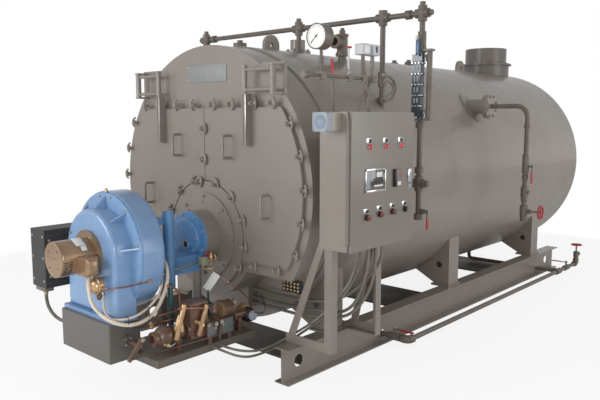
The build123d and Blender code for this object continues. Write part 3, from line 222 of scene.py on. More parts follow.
zincSkin = makeFinish("zincSkin", (150, 148, 144), (118, 116, 112), size=45, speckle=0.3, grain=120,
                      bump=0.15, rough=(0.28, 0.5), dust=0.1, metallic=0.8)
valveBrown = makeFinish("valveBrown", (120, 90, 72), (84, 62, 50), size=16, speckle=0.3, grain=160,
                        bump=0.35, rough=(0.28, 0.48), dust=0.15, metallic=0.25, coat=0.3)
brassBright = makeFinish("brassBright", (216, 182, 142), (178, 144, 108), size=26, speckle=0.3,
                         grain=200, rough=(0.28, 0.45), dust=0.05, metallic=0.7)
copperTube = makeFinish("copperTube", (172, 122, 100), (126, 88, 72), size=30, speckle=0.3, grain=150,
                        bump=0.06, rough=(0.18, 0.36), dust=0.05, metallic=0.8)
# Bare bright steel, and also the painted highlight on the edges of the door hangers
brightSteelAndHighlight = makeFinish("brightSteelAndHighlight", (206, 206, 204), (168, 168, 166), size=40, speckle=0.2,
                         grain=240, bump=0.06, rough=(0.14, 0.3), dust=0.05, metallic=1.0)
boltSteel = makeFinish("boltSteel", (202, 200, 194), (160, 156, 150), size=60, speckle=0.3, grain=200,
                       rough=(0.25, 0.45), dust=0.05, metallic=0.6)
redDip = makeFinish("redDip", (186, 34, 32), (150, 22, 22), grain=160, bump=0.08, rough=(0.25, 0.4),
                    dust=0.08, coat=0.3)
blueDip = makeFinish("blueDip", (62, 106, 146), (44, 84, 124), grain=160, bump=0.08, rough=(0.25, 0.4),
                     dust=0.08, coat=0.3)
dialWhite = makeFinish("dialWhite", (236, 236, 232), (226, 226, 222), speckle=0.05, grain=300, bump=0.02,
                       rough=(0.25, 0.35), dust=0.0)
# Black for print, ties and black parts, and also for painted shade in the motor's vents and screw slots and
# in the sight port's bore
blackInkAndShade = makeFinish("blackInkAndShade", (22, 22, 24), (34, 34, 36), size=30, grain=300, rough=(0.3, 0.5),
                      dust=0.03)
glassTeal = makeFinish("glassTeal", (58, 74, 84), (40, 54, 64), size=26, grain=180, bump=0.08,
                       rough=(0.16, 0.3), dust=0.05, coat=0.6)
hornGrey = makeFinish("hornGrey", (160, 168, 176), (146, 154, 162), size=12, grain=360, bump=0.12)
conduitBeige = makeFinish("conduitBeige", (228, 214, 196), (204, 190, 172), size=14, speckle=0.2,
                          rough=(0.28, 0.4), coat=0.3, rings=150)
conduitGrey = makeFinish("conduitGrey", (142, 136, 128), (112, 106, 98), size=14, speckle=0.25,
                         rough=(0.4, 0.6), rings=200)
rigidGrey = makeFinish("rigidGrey", (138, 131, 122), (110, 103, 96), size=12, speckle=0.25,
                       rough=(0.35, 0.55), metallic=0.3)
labelWhite = makeFinish("labelWhite", (240, 240, 236), (226, 226, 222), size=16, speckle=0.1, bump=0.03,
                        dust=0.02)
lampRed = makeFinish("lampRed", (226, 36, 44), (190, 20, 30), size=40, speckle=0.1, grain=200, bump=0.03,
                     rough=(0.08, 0.16), dust=0.0, coat=1.0, coatRough=0.04)
buttonRust = makeFinish("buttonRust", (120, 52, 40), (96, 40, 32), size=40, grain=200, bump=0.05,
                        rough=(0.25, 0.4))
castPaint = makeFinish("castPaint", (146, 138, 129), (126, 118, 109), size=18, grain=170, bump=0.2,
                       rough=(0.28, 0.42), coat=0.3, coatRough=0.2)
plateMetal = makeFinish("plateMetal", (146, 147, 148), (134, 135, 136), size=30, grain=320, bump=0.06,
                        rough=(0.42, 0.55), dust=0.03, metallic=0.1)
darkGlass = makeFinish("darkGlass", (74, 66, 60), (60, 54, 50), size=14, grain=300, bump=0.02,
                       rough=(0.08, 0.16), dust=0.02, coat=0.8, coatRough=0.05)
controlPale = makeFinish("controlPale", (128, 118, 110), (116, 106, 98), grain=300, bump=0.05)
lampOrange = makeFinish("lampOrange", (214, 96, 42), (190, 80, 34), size=40, grain=200, bump=0.02,
                        rough=(0.15, 0.25))
switchPale = makeFinish("switchPale", (202, 205, 210), (188, 191, 196), size=12, grain=300, bump=0.06,
                        rough=(0.3, 0.42), dust=0.05)
hornBlue = makeFinish("hornBlue", (140, 152, 172), (124, 136, 158), size=16, bump=0.08)
tealSteel = makeFinish("tealSteel", (66, 92, 96), (50, 74, 78), size=14, grain=240, bump=0.12)
driveGrey = makeFinish("driveGrey", (104, 107, 109), (90, 93, 95), size=12, grain=320, rough=(0.4, 0.55))
inletGrey = makeFinish("inletGrey", (102, 97, 92), (94, 89, 84), size=2.2, bump=0.06, rough=(0.36, 0.48),
                       coat=0.2, coatRough=0.25)
skidDark = makeFinish("skidDark", (100, 92, 85), (86, 78, 71), size=5, grain=220, bump=0.12,
                      rough=(0.42, 0.58))
paleGreen = makeFinish("paleGreen", (158, 164, 142), (138, 144, 122), bump=0.12, rough=(0.4, 0.55))
stackPaint = makeFinish("stackPaint", (112, 105, 98), (104, 97, 91), size=2.4, bump=0.06,
                        rough=(0.36, 0.48), coat=0.25, coatRough=0.2)
# Panel door paint: the body's paint made darker, painted shade on the door's face turned to +X
shadedPanelPaint = makeFinish("shadedPanelPaint", (126, 118, 110), (120, 112, 104), size=1.8, bump=0.05,
                        rough=(0.32, 0.44), coat=0.35, coatRough=0.15)
boxBeige = makeFinish("boxBeige", (184, 178, 166), (172, 166, 154), size=14, grain=320)
print("finishes ready", len(bpy.data.materials))

# The CAD nodes' finishes; the rest is bodyPaint
nodeFinish = {
    fanBlue: ["fan_drum", "fan_cover"], headBlue: ["burner_head", "fan_outlet_box", "burner_hinge"],
    motorBronze: ["burner_motor", "motor_terminal_box"], controlGrey: ["burner_control_box"],
    zincSkin: ["feed_valve_lever", "front_drain_lever", "rear_drain_lever", "column_valve_lever",
               "column_drain_lever"],
    pipePaint: ["steam_header", "water_column_pipe", "left_column", "gauge_manifold", "safety_valve",
                "shell_plugs", "blowdown_pipe", "feed_pipe", "pressure_gauge", "pressure_switches"],
    valveBrown: ["gas_train", "gas_actuator"], stackPaint: ["stack_collar"], shadedPanelPaint: ["panel_door"],
    glassTeal: ["gauge_glass"], inletGrey: ["air_inlet_box"], skidDark: ["cross_plates", "gas_shelf"],
    castPaint: ["davit_hinges"], hornGrey: ["alarm_horn"], redDip: ["feed_handwheel", "blowdown_handwheel"],
    rigidGrey: ["panel_conduits"]}
finishOf = {name: finish for finish, names in nodeFinish.items() for name in names}
for name, node in nodes.items():
    for place in node.material_slots:
        place.material = finishOf.get(name, bodyPaint)


# Handling pieces
def deselectAll():
    if bpy.context.mode != "OBJECT":
        bpy.ops.object.mode_set(mode="OBJECT")
    bpy.ops.object.select_all(action="DESELECT")


def pickOnly(piece):
    deselectAll()
    piece.select_set(True)
    bpy.context.view_layer.objects.active = piece


def finishPiece(piece, name, finish, body="boiler", smooth=35):
    pickOnly(piece)
    if piece.type != "MESH":
        bpy.ops.object.convert(target="MESH")
        piece = bpy.context.object
    bpy.ops.object.transform_apply(location=True, rotation=True, scale=True)
    piece.name = name
    piece.data.name = name
    piece.data.materials.clear()
    piece.data.materials.append(finish)
    bpy.ops.object.shade_smooth_by_angle(angle=radians(smooth))
    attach(piece, body)
    return piece


def softenEdges(piece, width, segments=2):
    pickOnly(piece)
    rounded = piece.modifiers.new("rounded", "BEVEL")
    rounded.width = width
    rounded.segments = segments
    rounded.limit_method = "ANGLE"
    rounded.angle_limit = radians(40)
    bpy.ops.object.modifier_apply(modifier=rounded.name)
    return piece


def joinPieces(pieces):
    pickOnly(pieces[0])
    for piece in pieces:
        piece.select_set(True)
    bpy.ops.object.join()
    return bpy.context.object


# A turned part: a disc drawn out step by step along Z, each step (rise, radius)
def turnPart(steps, sides=24):
    deselectAll()
    bpy.ops.mesh.primitive_circle_add(vertices=sides, radius=steps[0][1], fill_type="NGON",
                                      location=(0, 0, steps[0][0]))
    part = bpy.context.object
    bpy.ops.object.mode_set(mode="EDIT")
    bpy.ops.mesh.select_all(action="SELECT")
    for (z0, r0), (z1, r1) in zip(steps, steps[1:]):
        bpy.ops.mesh.extrude_region_move(TRANSFORM_OT_translate={"value": (0, 0, z1 - z0)})
        bpy.ops.transform.resize(value=(r1 / r0, r1 / r0, 1))
    bpy.ops.mesh.select_all(action="SELECT")
    bpy.ops.mesh.normals_make_consistent(inside=False)
    bpy.ops.object.mode_set(mode="OBJECT")
    bpy.ops.object.transform_apply(location=True, rotation=True, scale=True)
    return part


# A boxed part with rounded edges
def boxPart(low, high, soften=0.002, segments=2):
    deselectAll()
    middle = [(a + b) / 2 for a, b in zip(low, high)]
    bpy.ops.mesh.primitive_cube_add(size=1, location=middle, scale=[b - a for a, b in zip(low, high)])
    bpy.ops.object.transform_apply(location=True, rotation=True, scale=True)
    part = bpy.context.object
    if soften:
        softenEdges(part, soften, segments)
    return part


# Copies of one model, each with its own mesh, set on spots that face a direction, made one piece
def setCopies(model, places):
    made = []
    for spot, facing, *roll in places:
        twin = model.copy()
        twin.data = model.data.copy()
        bpy.context.collection.objects.link(twin)
        twin.location = spot
        turn = Vector(facing).to_track_quat("Z", "Y")
        if roll:
            turn = turn @ Quaternion((0, 0, 1), roll[0])
        twin.rotation_mode = "QUATERNION"
        twin.rotation_quaternion = turn
        made.append(twin)
    bpy.data.objects.remove(model)
    return joinPieces(made)


# Finished pieces in one call: turned copies, a box
def setTurned(name, steps, places, finish, sides=24, body="boiler"):
    finishPiece(setCopies(turnPart(steps, sides), places), name, finish, body)


def setBox(name, low, high, finish, soften=0.002, segments=2, body="boiler"):
    finishPiece(boxPart(low, high, soften, segments), name, finish, body)


# A tube along points: straight runs with smooth bends
def tubePart(points, radius, sides=8):
    line = bpy.data.curves.new("tube", "CURVE")
    line.dimensions = "3D"
    line.bevel_depth = radius
    line.bevel_resolution = sides // 2
    line.resolution_u = 8
    spline = line.splines.new("NURBS")
    spline.points.add(len(points) - 1)
    for point, spot in zip(spline.points, points):
        point.co = (*spot, 1)
    spline.order_u = 3
    spline.use_endpoint_u = True
    line.use_fill_caps = True
    tube = bpy.data.objects.new("tube", line)
    bpy.context.collection.objects.link(tube)
    return tube


# A finished run of tube, its points and radius in millimetres as in the cords
def wire(name, points, radius, finish):
    route = [tuple(value / 1000 for value in spot) for spot in points]
    finishPiece(tubePart(route, radius / 1000), name, finish, smooth=60)


# Cords: the free conduits of burner and gas train, control points in millimetres as in the frame
cordRoutes = {
    "motor_conduit": {"diameter": 20, "length": 0.969, "finish": conduitBeige, "route": [
        (118, -901, 672), (118.5, -901.5, 590), (172, -912, 521), (262, -892, 468), (310, -816, 426),
        (322, -722, 424), (318, -634, 460), (304, -560, 556), (280, -520, 640), (214, -504, 722),
        (116, -504, 738)]},
    "switch_conduit": {"diameter": 13, "length": 0.706, "finish": conduitBeige, "route": [
        (158, -843, 563.5), (158.5, -843.5, 520), (180, -848, 481.5), (217, -851, 458), (264, -840, 455),
        (300, -806, 456), (310, -744, 464), (302, -672, 486), (290, -598, 530), (266, -545, 594),
        (203, -526, 652), (116, -524, 664)]},
    "stand_conduit_front": {"diameter": 14, "length": 1.254, "finish": conduitGrey, "route": [
        (462, -330, 238), (514, -330, 237), (560, -302, 225), (582, -248, 207), (580, -160, 184),
        (574, -50, 176), (592, 50, 200), (655, 106, 250), (745, 112, 314), (835, 132, 396), (920, 150, 500),
        (985, 160, 592), (1014, 160, 694), (1016, 160, 800)]},
    "stand_conduit_rear": {"diameter": 14, "length": 1.372, "finish": conduitGrey, "route": [
        (462, -376, 238), (514, -376, 237), (558, -348, 219), (578, -296, 191), (566, -205, 158),
        (548, -92, 142), (556, 18, 150), (598, 105, 186), (660, 150, 240), (740, 168, 304), (832, 186, 390),
        (912, 205, 497), (974, 215, 592), (1006.5, 216, 694), (1008, 216, 800)]}}
for name, cord in cordRoutes.items():
    route = [tuple(value / 1000 for value in spot) for spot in cord["route"]]
    flex = tubePart(route, cord["diameter"] / 2000, sides=12)
    flex.data.resolution_u = 12
    flex.name = name + "_flex"
    flex.data.name = flex.name
    flex.data.materials.append(cord["finish"])
    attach(flex, "boiler")
    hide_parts(name)
print("cords laid", len(cordRoutes))


# The four ways that most pieces face
front = (0, -1, 0)
right = (1, 0, 0)
up = (0, 0, 1)
down = (0, 0, -1)


# Spots around an X, Y or Z axis, each with the way it faces
def ringSpots(centre, radius, angles):
    return [(centre[0] + radius * cos(radians(turn)), centre[1] + radius * sin(radians(turn)))
            for turn in angles]


def aroundX(centre, x, radius, angles):
    return [((x, y, z), right) for y, z in ringSpots(centre, radius, angles)]


def aroundY(centre, y, radius, angles):
    return [((x, y, z), front) for x, z in ringSpots(centre, radius, angles)]


def aroundZ(centre, z, radius, angles):
    return [((x, y, z), up) for x, y in ringSpots(centre, radius, angles)]


def around(count, first=0.0):
    return [first + 360 * step / count for step in range(count)]


# A washer under a hexagon head, size is the head's half width
def hexBolt(size):
    washer = turnPart([(0, size * 1.3), (size * 0.22, size * 1.3)], 20)
    head = turnPart([(size * 0.2, size), (size * 0.95, size), (size * 1.1, size * 0.8)], 6)
    return joinPieces([washer, head])


def setBolts(name, size, places, finish, body="boiler"):
    finishPiece(setCopies(hexBolt(size), places), name, finish, body)


# A flat bar between two spots (y, z), as wide as given, its thickness from x0 to x1
def barAcross(x0, x1, start, stop, width, soften=0.0015):
    run = Vector((0, stop[0] - start[0], stop[1] - start[1]))
    bar = boxPart((x0, -run.length / 2, -width / 2), (x1, run.length / 2, width / 2), soften)
    bar.rotation_euler = Vector((0, 1, 0)).rotation_difference(run).to_euler()
    bar.location = (0, (start[0] + stop[0]) / 2, (start[1] + stop[1]) / 2)
    return bar


# Bolts and nuts of burner and flanges: head size, places, finish
burnerAxis = (0, 0.7535)
driveSpots = ((-0.400, 0.362), (-0.352, 0.338), (-0.300, 0.345), (-0.322, 0.312))
boltRings = {
    "plateBolts": (0.0105, aroundY(burnerAxis, -0.039, 0.240, around(8)), castPaint),
    "plateScrews": (0.006, aroundY(burnerAxis, -0.039, 0.205, around(8, 2)), castPaint),
    "headBolts": (0.0075, aroundY(burnerAxis, -0.165, 0.142, around(8, 20)), boltSteel),
    "coverBolts": (0.0055, aroundY(burnerAxis, -0.189, 0.100, around(8, 4)), boltSteel),
    "fanBolts": (0.007, aroundY(burnerAxis, -0.714, 0.3, [-24, 12, 52, 80, 100, 128, 168, 204]), boltSteel),
    "motorBolts": (0.0075, aroundY(burnerAxis, -0.866, 0.148, [48, 132, -40, 220]), brightSteelAndHighlight),
    "steamBolts": (0.010, aroundZ((-0.090, 0.918), 1.940, 0.076, around(8, 22)), castPaint),
    "stackBolts": (0.0095, aroundZ((0, 3.652), 2.004, 0.226, around(16)), castPaint),
    "feedBolts": (0.0095, aroundX((2.030, 1.555), 0.862, 0.076, around(8, 22)), castPaint),
    "damperBolts": (0.0045, aroundX((-0.768, 0.322), 0.2625, 0.0205, around(4, 45)), boltSteel),
    "driveBolts": (0.0065, [((0.461, y, z), right) for y, z in driveSpots], boltSteel)}
for name, (size, places, finish) in boltRings.items():
    setBolts(name, size, places, finish)
linkNuts = {"driveHubNut": (0.474, -0.358, 0.364), "driveArmNut": (0.480, -0.325, 0.371),
            "damperArmNut": (0.374, -0.757, 0.355)}
for name, spot in linkNuts.items():
    setBolts(name, 0.009, [(spot, right)], boltSteel)
print("bolts set", len(boltRings))

# Fan housing: the foot of the lifting eye on top
eyeFoot = turnPart([(0, 0.011), (0.006, 0.011), (0.009, 0.008), (0.014, 0.0085), (0.019, 0.005)])
finishPiece(setCopies(softenEdges(eyeFoot, 0.0012), [((0, -0.706, 1.074), up)]), "fanEyeFoot", brassBright)

# Motor: end cap, vents, bare plates, screw slots, lid of the terminal box; vents and slots are black marks
# of painted shade
motor = {"end": -1.020, "slots": -1.019, "ventRings": (-1.000, -0.973), "ventRadius": 0.0932,
         "plateRadius": 0.0938}


# A spot on a round about the burner's axis, facing away from it
def outward(radius, y, turn):
    x = cos(radians(turn))
    z = sin(radians(turn))
    return (radius * x, y, burnerAxis[1] + radius * z), (x, 0, z)


setTurned("motorEndCap", [
    (0, 0.0925), (0.003, 0.0925), (0.003, 0.080), (0.0015, 0.076), (0.0015, 0.030), (0.004, 0.026),
    (0.0042, 0.004)], [((0, motor["end"] + 0.004, burnerAxis[1]), front)], motorBronze, 48)
# Vents: black slots on the motor's end, painted shade standing for the dark inside of the openings
vent = boxPart((-0.0105, -0.0024, -0.0009), (0.0105, 0.0024, 0.0009), 0.0006)
turns = [-4 - 7 * step for step in range(8)] + [184 + 7 * step for step in range(8)]
vents = [outward(motor["ventRadius"], ring, turn) for ring in motor["ventRings"] for turn in turns]
finishPiece(setCopies(vent, vents), "motorVentShade", blackInkAndShade)
for name, wide, long, turn, y in (("motorPlate", 0.050, 0.066, 62, -0.905),
                                  ("motorPlateLow", 0.030, 0.028, 34, -0.893)):
    card = boxPart((-wide / 2, -long / 2, -0.0006), (wide / 2, long / 2, 0.0008), 0.0004)
    finishPiece(setCopies(card, [outward(motor["plateRadius"], y, turn)]), name, labelWhite)
# Screw slots in the end cap: black marks of painted shade for the recesses
slot = boxPart((-0.009, -0.0024, 0), (0.009, 0.0024, 0.0012), 0.0003)
slotPlaces = aroundY(burnerAxis, motor["slots"], 0.060, [50, 140, 228, 320])
finishPiece(setCopies(slot, slotPlaces), "motorSlotShade", blackInkAndShade)
lid = boxPart((-0.037, -0.048, 0), (0.037, 0.048, 0.006), 0.0)
pickOnly(lid)
bpy.ops.object.mode_set(mode="EDIT")
bpy.ops.mesh.select_all(action="DESELECT")
bpy.ops.object.mode_set(mode="OBJECT")
for face in lid.data.polygons:
    face.select = face.normal.z > 0.9
bpy.ops.object.mode_set(mode="EDIT")
bpy.ops.mesh.extrude_region_move(TRANSFORM_OT_translate={"value": (0, 0, 0.015)})
bpy.ops.transform.resize(value=(0.58, 0.62, 1))
bpy.ops.object.mode_set(mode="OBJECT")
softenEdges(lid, 0.002)
finishPiece(setCopies(lid, [((0.158, -0.901, 0.722), right)]), "terminalLid", motorBronze)

# Air switch: brass dome and case on the cover, elbow and collar below, copper tube to the drum
airSwitch = {"place": (0.138, -0.866, 0.6135)}
setTurned("airSwitchDome", [
    (-0.028, 0.0412), (0, 0.0412), (0.001, 0.0445), (0.006, 0.0445), (0.008, 0.040), (0.015, 0.038),
    (0.022, 0.033), (0.028, 0.025), (0.031, 0.013), (0.032, 0.004)],
    [(airSwitch["place"], front)], brassBright, 40)
wire("airSwitchElbow", [
    (138, -858, 580), (138, -859, 552), (150, -860, 546), (156, -858, 556), (158, -852, 570)], 8.5,
    valveBrown)
setTurned("airSwitchCollar", [(0, 0.0105), (0.014, 0.0105), (0.018, 0.0095)],
          [((0.158, -0.843, 0.5615), up)], brightSteelAndHighlight)
wire("airCopperTube", [
    (176, -862, 612), (206, -864, 610), (250, -835, 612), (286, -752, 618), (301, -672, 627),
    (303, -648, 629)], 4.2, copperTube)
setTurned("drumFitting", [(0, 0.010), (0.010, 0.010), (0.012, 0.007), (0.022, 0.006)],
          [((0.300, -0.648, 0.629), (0.24, -0.97, -0.04))], brassBright, 6)
setTurned("domeFitting", [(0, 0.008), (0.012, 0.008), (0.014, 0.006), (0.018, 0.005)],
          [((0.172, -0.862, 0.612), right)], brassBright, 6)

# Collars where conduits enter their boxes
setTurned("conduitCollars", [
    (0, 0.0165), (0.006, 0.0165), (0.007, 0.013), (0.020, 0.0128), (0.022, 0.0115)],
    [((0.118, -0.901, 0.672), down), ((0.118, -0.504, 0.738), right), ((0.118, -0.524, 0.664), right)],
    conduitBeige)
setTurned("panelCollars", [
    (0, 0.0135), (0.006, 0.0135), (0.007, 0.010), (0.018, 0.0098), (0.020, 0.0088)],
    [((1.016, 0.160, 0.800), down), ((1.008, 0.216, 0.800), down)], zincSkin)

# Control box: rails and screws on its sides, the connector and its flexible conduit down to the inlet box
rails = [boxPart((-0.3352, -0.884, z), (-0.3300, -0.556, z + 0.013)) for z in (0.812, 0.546)]
finishPiece(joinPieces(rails), "controlRails", controlGrey)
screws = [((x, -0.9002, z), front) for x in (-0.470, -0.352) for z in (0.560, 0.690, 0.812)]
screws += [((-0.3338, y, z), right) for y in (-0.872, -0.700) for z in (0.585, 0.790)]
setTurned("controlScrews", [(0, 0.007), (0.0025, 0.007), (0.0035, 0.0045)], screws, boltSteel, 14)
setBox("controlConnector", (-0.480, -0.890, 0.492), (-0.372, -0.836, 0.5205), rigidGrey, 0.003)
setTurned("controlCollars", [(0, 0.015), (0.008, 0.015), (0.009, 0.0125), (0.024, 0.012)],
          [((-0.418, -0.862, 0.4925), down), ((-0.2405, -0.815, 0.318), (-1, 0, 0.15))], brassBright, 20)
wire("controlConduit", [
    (-418, -862, 486), (-418, -862, 440), (-398, -861, 392), (-352, -850, 348), (-300, -828, 324),
    (-248, -815, 318)], 9.5, conduitGrey)

# Ties around the bundled conduits
for name, (x, y, z), wide, high in (("tieFront", (304, -800, 441), 15, 34),
                                    ("tieRear", (313, -680, 456), 15, 40)):
    loop = [(x + wide * cos(radians(turn)), y, z + high * sin(radians(turn))) for turn in around(14)]
    wire(name, loop + [(x + wide, y, z)], 1.8, blackInkAndShade)
print("burner dressed")

# Door clamps: stud, nut and a curved dog over the seam; they swing with the door they hold
clamp = {"stud": 0.0085, "nut": 0.0135, "reach": 0.030, "dog": 0.0066, "seat": -0.0262}


def clampPart():
    stud = turnPart([(0, clamp["stud"]), (0.034, clamp["stud"]), (0.036, clamp["stud"] * 0.7)], 16)
    washer = turnPart([(0.014, 0.0175), (0.017, 0.0175)])
    nut = turnPart([(0.017, clamp["nut"]), (0.027, clamp["nut"]), (0.029, clamp["nut"] * 0.85)], 6)
    link = boxPart((0.0, -0.009, 0.004), (clamp["reach"], 0.009, 0.015), 0.003)
    bend = ((0.55, -0.031, 0.006), (0.95, -0.022, 0.010), (1.12, 0, 0.012), (0.95, 0.022, 0.010),
            (0.55, 0.031, 0.006))
    dog = tubePart([(clamp["reach"] * share, y, z) for share, y, z in bend], clamp["dog"])
    pickOnly(dog)
    bpy.ops.object.convert(target="MESH")
    return joinPieces([stud, washer, nut, link, bpy.context.object])


# Places (x, z, turn) on the right door, mirrored on the left one, which also holds the middle seam
doorSides = ((1, "right_door"), (-1, "left_door"))
clampSpots = [
    (0.080, 1.546, 0), (0.243, 1.546, 0), (0.428, 1.548, 0), (0.574, 1.548, 0), (0.704, 1.436, 12),
    (0.775, 1.264, 8), (0.804, 1.084, 0), (0.787, 0.902, -6), (0.738, 0.726, -12), (0.418, 0.616, 0),
    (0.604, 0.618, 0), (0.094, 1.073, 35), (0.232, 1.004, 25), (0.327, 0.874, 12), (0.339, 0.720, -4),
    (0.289, 0.585, -16)]
middleSpots = [(-0.006, 1.403, 0), (-0.010, 1.217, 0), (-0.055, 1.079, 0)]
for side, body in doorSides:
    turned = [(side * x, z, turn if side > 0 else 180 - turn) for x, z, turn in clampSpots]
    if side < 0:
        turned += middleSpots
    places = [((x, clamp["seat"], z), front, radians(turn)) for x, z, turn in turned]
    finishPiece(setCopies(clampPart(), places), "clamps_" + body, castPaint, body)
print("door clamps set")

# Painted highlight: a bright steel strip along the front edge of the bar that hangs each door
hanger = {"x": 0.400, "shift": 0.0115, "half": 0.0036}
for side, body in doorSides:
    middle = side * hanger["x"] + hanger["shift"]
    setBox("hangerHighlight_" + body, (middle - hanger["half"], -0.0722, 1.314),
           (middle + hanger["half"], -0.0708, 1.598), brightSteelAndHighlight, 0.0005, body=body)

# Bare name plate on the front, with its four screws
setBox("namePlate", (-0.182, -0.0035, 1.681), (0.182, -0.0002, 1.786), plateMetal, 0.0012)
setTurned("namePlateScrews", [(0, 0.0048), (0.0016, 0.0048), (0.0026, 0.003)],
          [((x, -0.0034, z), front) for x in (-0.170, 0.170) for z in (1.693, 1.774)], boltSteel, 16)

# Terminal strip under the front
setBox("terminalStrip", (0.598, 0.030, 0.494), (0.734, 0.056, 0.5655), blackInkAndShade)
setTurned("terminalScrews", [(0, 0.0062), (0.004, 0.0062), (0.005, 0.0045)],
          [((0.614 + 0.026 * column, 0.0295, 0.509 + 0.020 * row), front)
           for column in range(5) for row in range(3)], brassBright, 12)

# Sight port: bright rim, and a black disc in the burner head's cover painted as the shade of the bore's
# depth
setTurned("portRim", [(0, 0.0275), (0.004, 0.0268), (0.0045, 0.0205), (0.001, 0.0195), (-0.004, 0.0185)],
          [((0.032, -0.209, 0.7215), front)], boltSteel, 36)
setTurned("portBoreShade", [(0, 0.0188), (0.001, 0.0184)], [((0.032, -0.2094, 0.7215), front)], blackInkAndShade, 28)

# Panel door fittings, all on its front face: spots and spans are (y, z)
panelFace = 1.158


def panelBox(name, y, z, depth, finish, soften=0.001):
    setBox(name, (panelFace - 0.0004, y[0], z[0]), (panelFace + depth, y[1], z[1]), finish, soften,
           body="panel_door")


def panelTurned(name, steps, spots, finish, sides=28):
    setTurned(name, steps, [((panelFace, y, z), right) for y, z in spots], finish, sides, "panel_door")


lampSpots = [(y, 1.322) for y in (0.078, 0.221, 0.359)]
panelTurned("lampBezels", [(0, 0.017), (0.004, 0.0165), (0.005, 0.0148)], lampSpots, brightSteelAndHighlight)
panelTurned("lampLenses", [
    (0.0035, 0.0145), (0.009, 0.0135), (0.014, 0.0095), (0.016, 0.003)], lampSpots, lampRed)
buttonSpots = [(0.061, 0.966), (0.174, 0.972), (0.291, 0.974)]
collarSpots = buttonSpots + [(0.407, 0.975)]
panelTurned("buttonCollars", [(0, 0.0165), (0.005, 0.016), (0.006, 0.013)], collarSpots, blackInkAndShade)
panelTurned("buttonCaps", [
    (0.005, 0.012), (0.010, 0.012), (0.011, 0.0155), (0.018, 0.015), (0.020, 0.011)], buttonSpots,
    buttonRust)
panelBox("switchKnob", (0.402, 0.412), (0.962, 0.992), 0.017, blackInkAndShade, 0.002)
tagSpots = [(y - 0.004, 1.352) for y, z in lampSpots] + [(y - 0.003, z + 0.031) for y, z in collarSpots]
for name, wide, high, depth, shift, finish in (("tagPlates", 0.024, 0.0135, 0.0012, 0, brightSteelAndHighlight),
                                               ("tagFields", 0.013, 0.0095, 0.0020, 0.006, blackInkAndShade)):
    card = boxPart((-wide, -high, 0), (wide, high, depth), 0.0004)
    places = [((panelFace, y + shift, z), right) for y, z in tagSpots]
    finishPiece(setCopies(card, places), name, finish, "panel_door")
display = {"y": (0.041, 0.222), "z": (1.091, 1.212), "bar": 0.012}


# The four bars of a frame, each as its two spans
def frameSpans(wide, high, bar):
    return ((wide, (high[0], high[0] + bar)), (wide, (high[1] - bar, high[1])),
            ((wide[0], wide[0] + bar), high), ((wide[1] - bar, wide[1]), high))


frameBars = [boxPart((panelFace - 0.0004, y[0], z[0]), (panelFace + 0.006, y[1], z[1]), 0.0018)
             for y, z in frameSpans(display["y"], display["z"], display["bar"])]
finishPiece(joinPieces(frameBars), "displayFrame", brightSteelAndHighlight, "panel_door")
panelBox("displayBack", (0.050, 0.213), (1.100, 1.203), 0.0018, darkGlass)
panelBox("displaySteel", (0.054, 0.086), (1.107, 1.196), 0.0030, hornGrey)
panelBox("displayReading", (0.140, 0.190), (1.166, 1.192), 0.0030, labelWhite)
panelBox("displayKeys", (0.112, 0.200), (1.136, 1.160), 0.0030, blackInkAndShade)
panelBox("displayLine", (0.120, 0.196), (1.118, 1.127), 0.0026, labelWhite)
panelTurned("displayScrews", [(0, 0.0045), (0.008, 0.0045), (0.0092, 0.003)],
            [(y, z) for y in (0.047, 0.131, 0.216) for z in (1.096, 1.207)], brightSteelAndHighlight, 14)
panelBox("moduleEdge", (0.293, 0.309), (1.105, 1.199), 0.0150, blackInkAndShade)
panelBox("moduleFace", (0.307, 0.358), (1.107, 1.197), 0.0120, controlPale)
panelTurned("moduleLights", [(0.0115, 0.0065), (0.0135, 0.0058)], [(0.340, 1.184), (0.340, 1.166)],
            lampOrange, 18)
panelBox("moduleTag", (0.320, 0.350), (1.112, 1.132), 0.0128, labelWhite, 0.0004)
panelBox("latchPlate", (0.430, 0.466), (1.122, 1.194), 0.0080, brightSteelAndHighlight, 0.0075)
panelBox("latchGrip", (0.439, 0.459), (1.132, 1.176), 0.0120, hornGrey, 0.0040)
panelTurned("panelLock", [
    (0, 0.012), (0.004, 0.0115), (0.005, 0.007), (0.0052, 0.003)], [(0.448, 1.099)], hornGrey)
print("panel dressed")

# Dial: rim, white face, ticks, pointer and hub
dial = {"x": 0.972, "z": 1.862, "face": -0.118, "first": -45, "step": 13.5, "ticks": 21, "pointer": 222}


# The dial's middle, lifted off its face
def dialSpot(lift):
    return dial["x"], dial["face"] - lift, dial["z"]


setTurned("dialRim", [(-0.003, 0.0628), (0.003, 0.0628), (0.004, 0.0595), (0.0015, 0.0575), (0, 0.057)],
          [(dialSpot(0), front)], pipePaint, 56)
setTurned("dialFace", [(0.0002, 0.0572), (0.0012, 0.057)], [(dialSpot(0), front)], dialWhite, 56)
tick = boxPart((-0.0036, -0.0009, 0), (0.0036, 0.0009, 0.0004), 0.0)
turns = [dial["first"] + dial["step"] * step for step in range(dial["ticks"])]
tickPlaces = aroundY((dial["x"], dial["z"]), dial["face"] - 0.0012, 0.050, turns)
finishPiece(setCopies(tick, [(*place, radians(turn)) for place, turn in zip(tickPlaces, turns)]),
            "dialTicks", blackInkAndShade)
pointer = boxPart((-0.012, -0.0018, 0), (0.046, 0.0018, 0.0008), 0.0003)
pointerPlace = (dialSpot(0.0018), front, radians(dial["pointer"]))
finishPiece(setCopies(pointer, [pointerPlace]), "dialPointer", blackInkAndShade)
setTurned("dialHub", [
    (0, 0.0052), (0.003, 0.005), (0.0035, 0.003)], [(dialSpot(0.0014), front)], blackInkAndShade, 20)

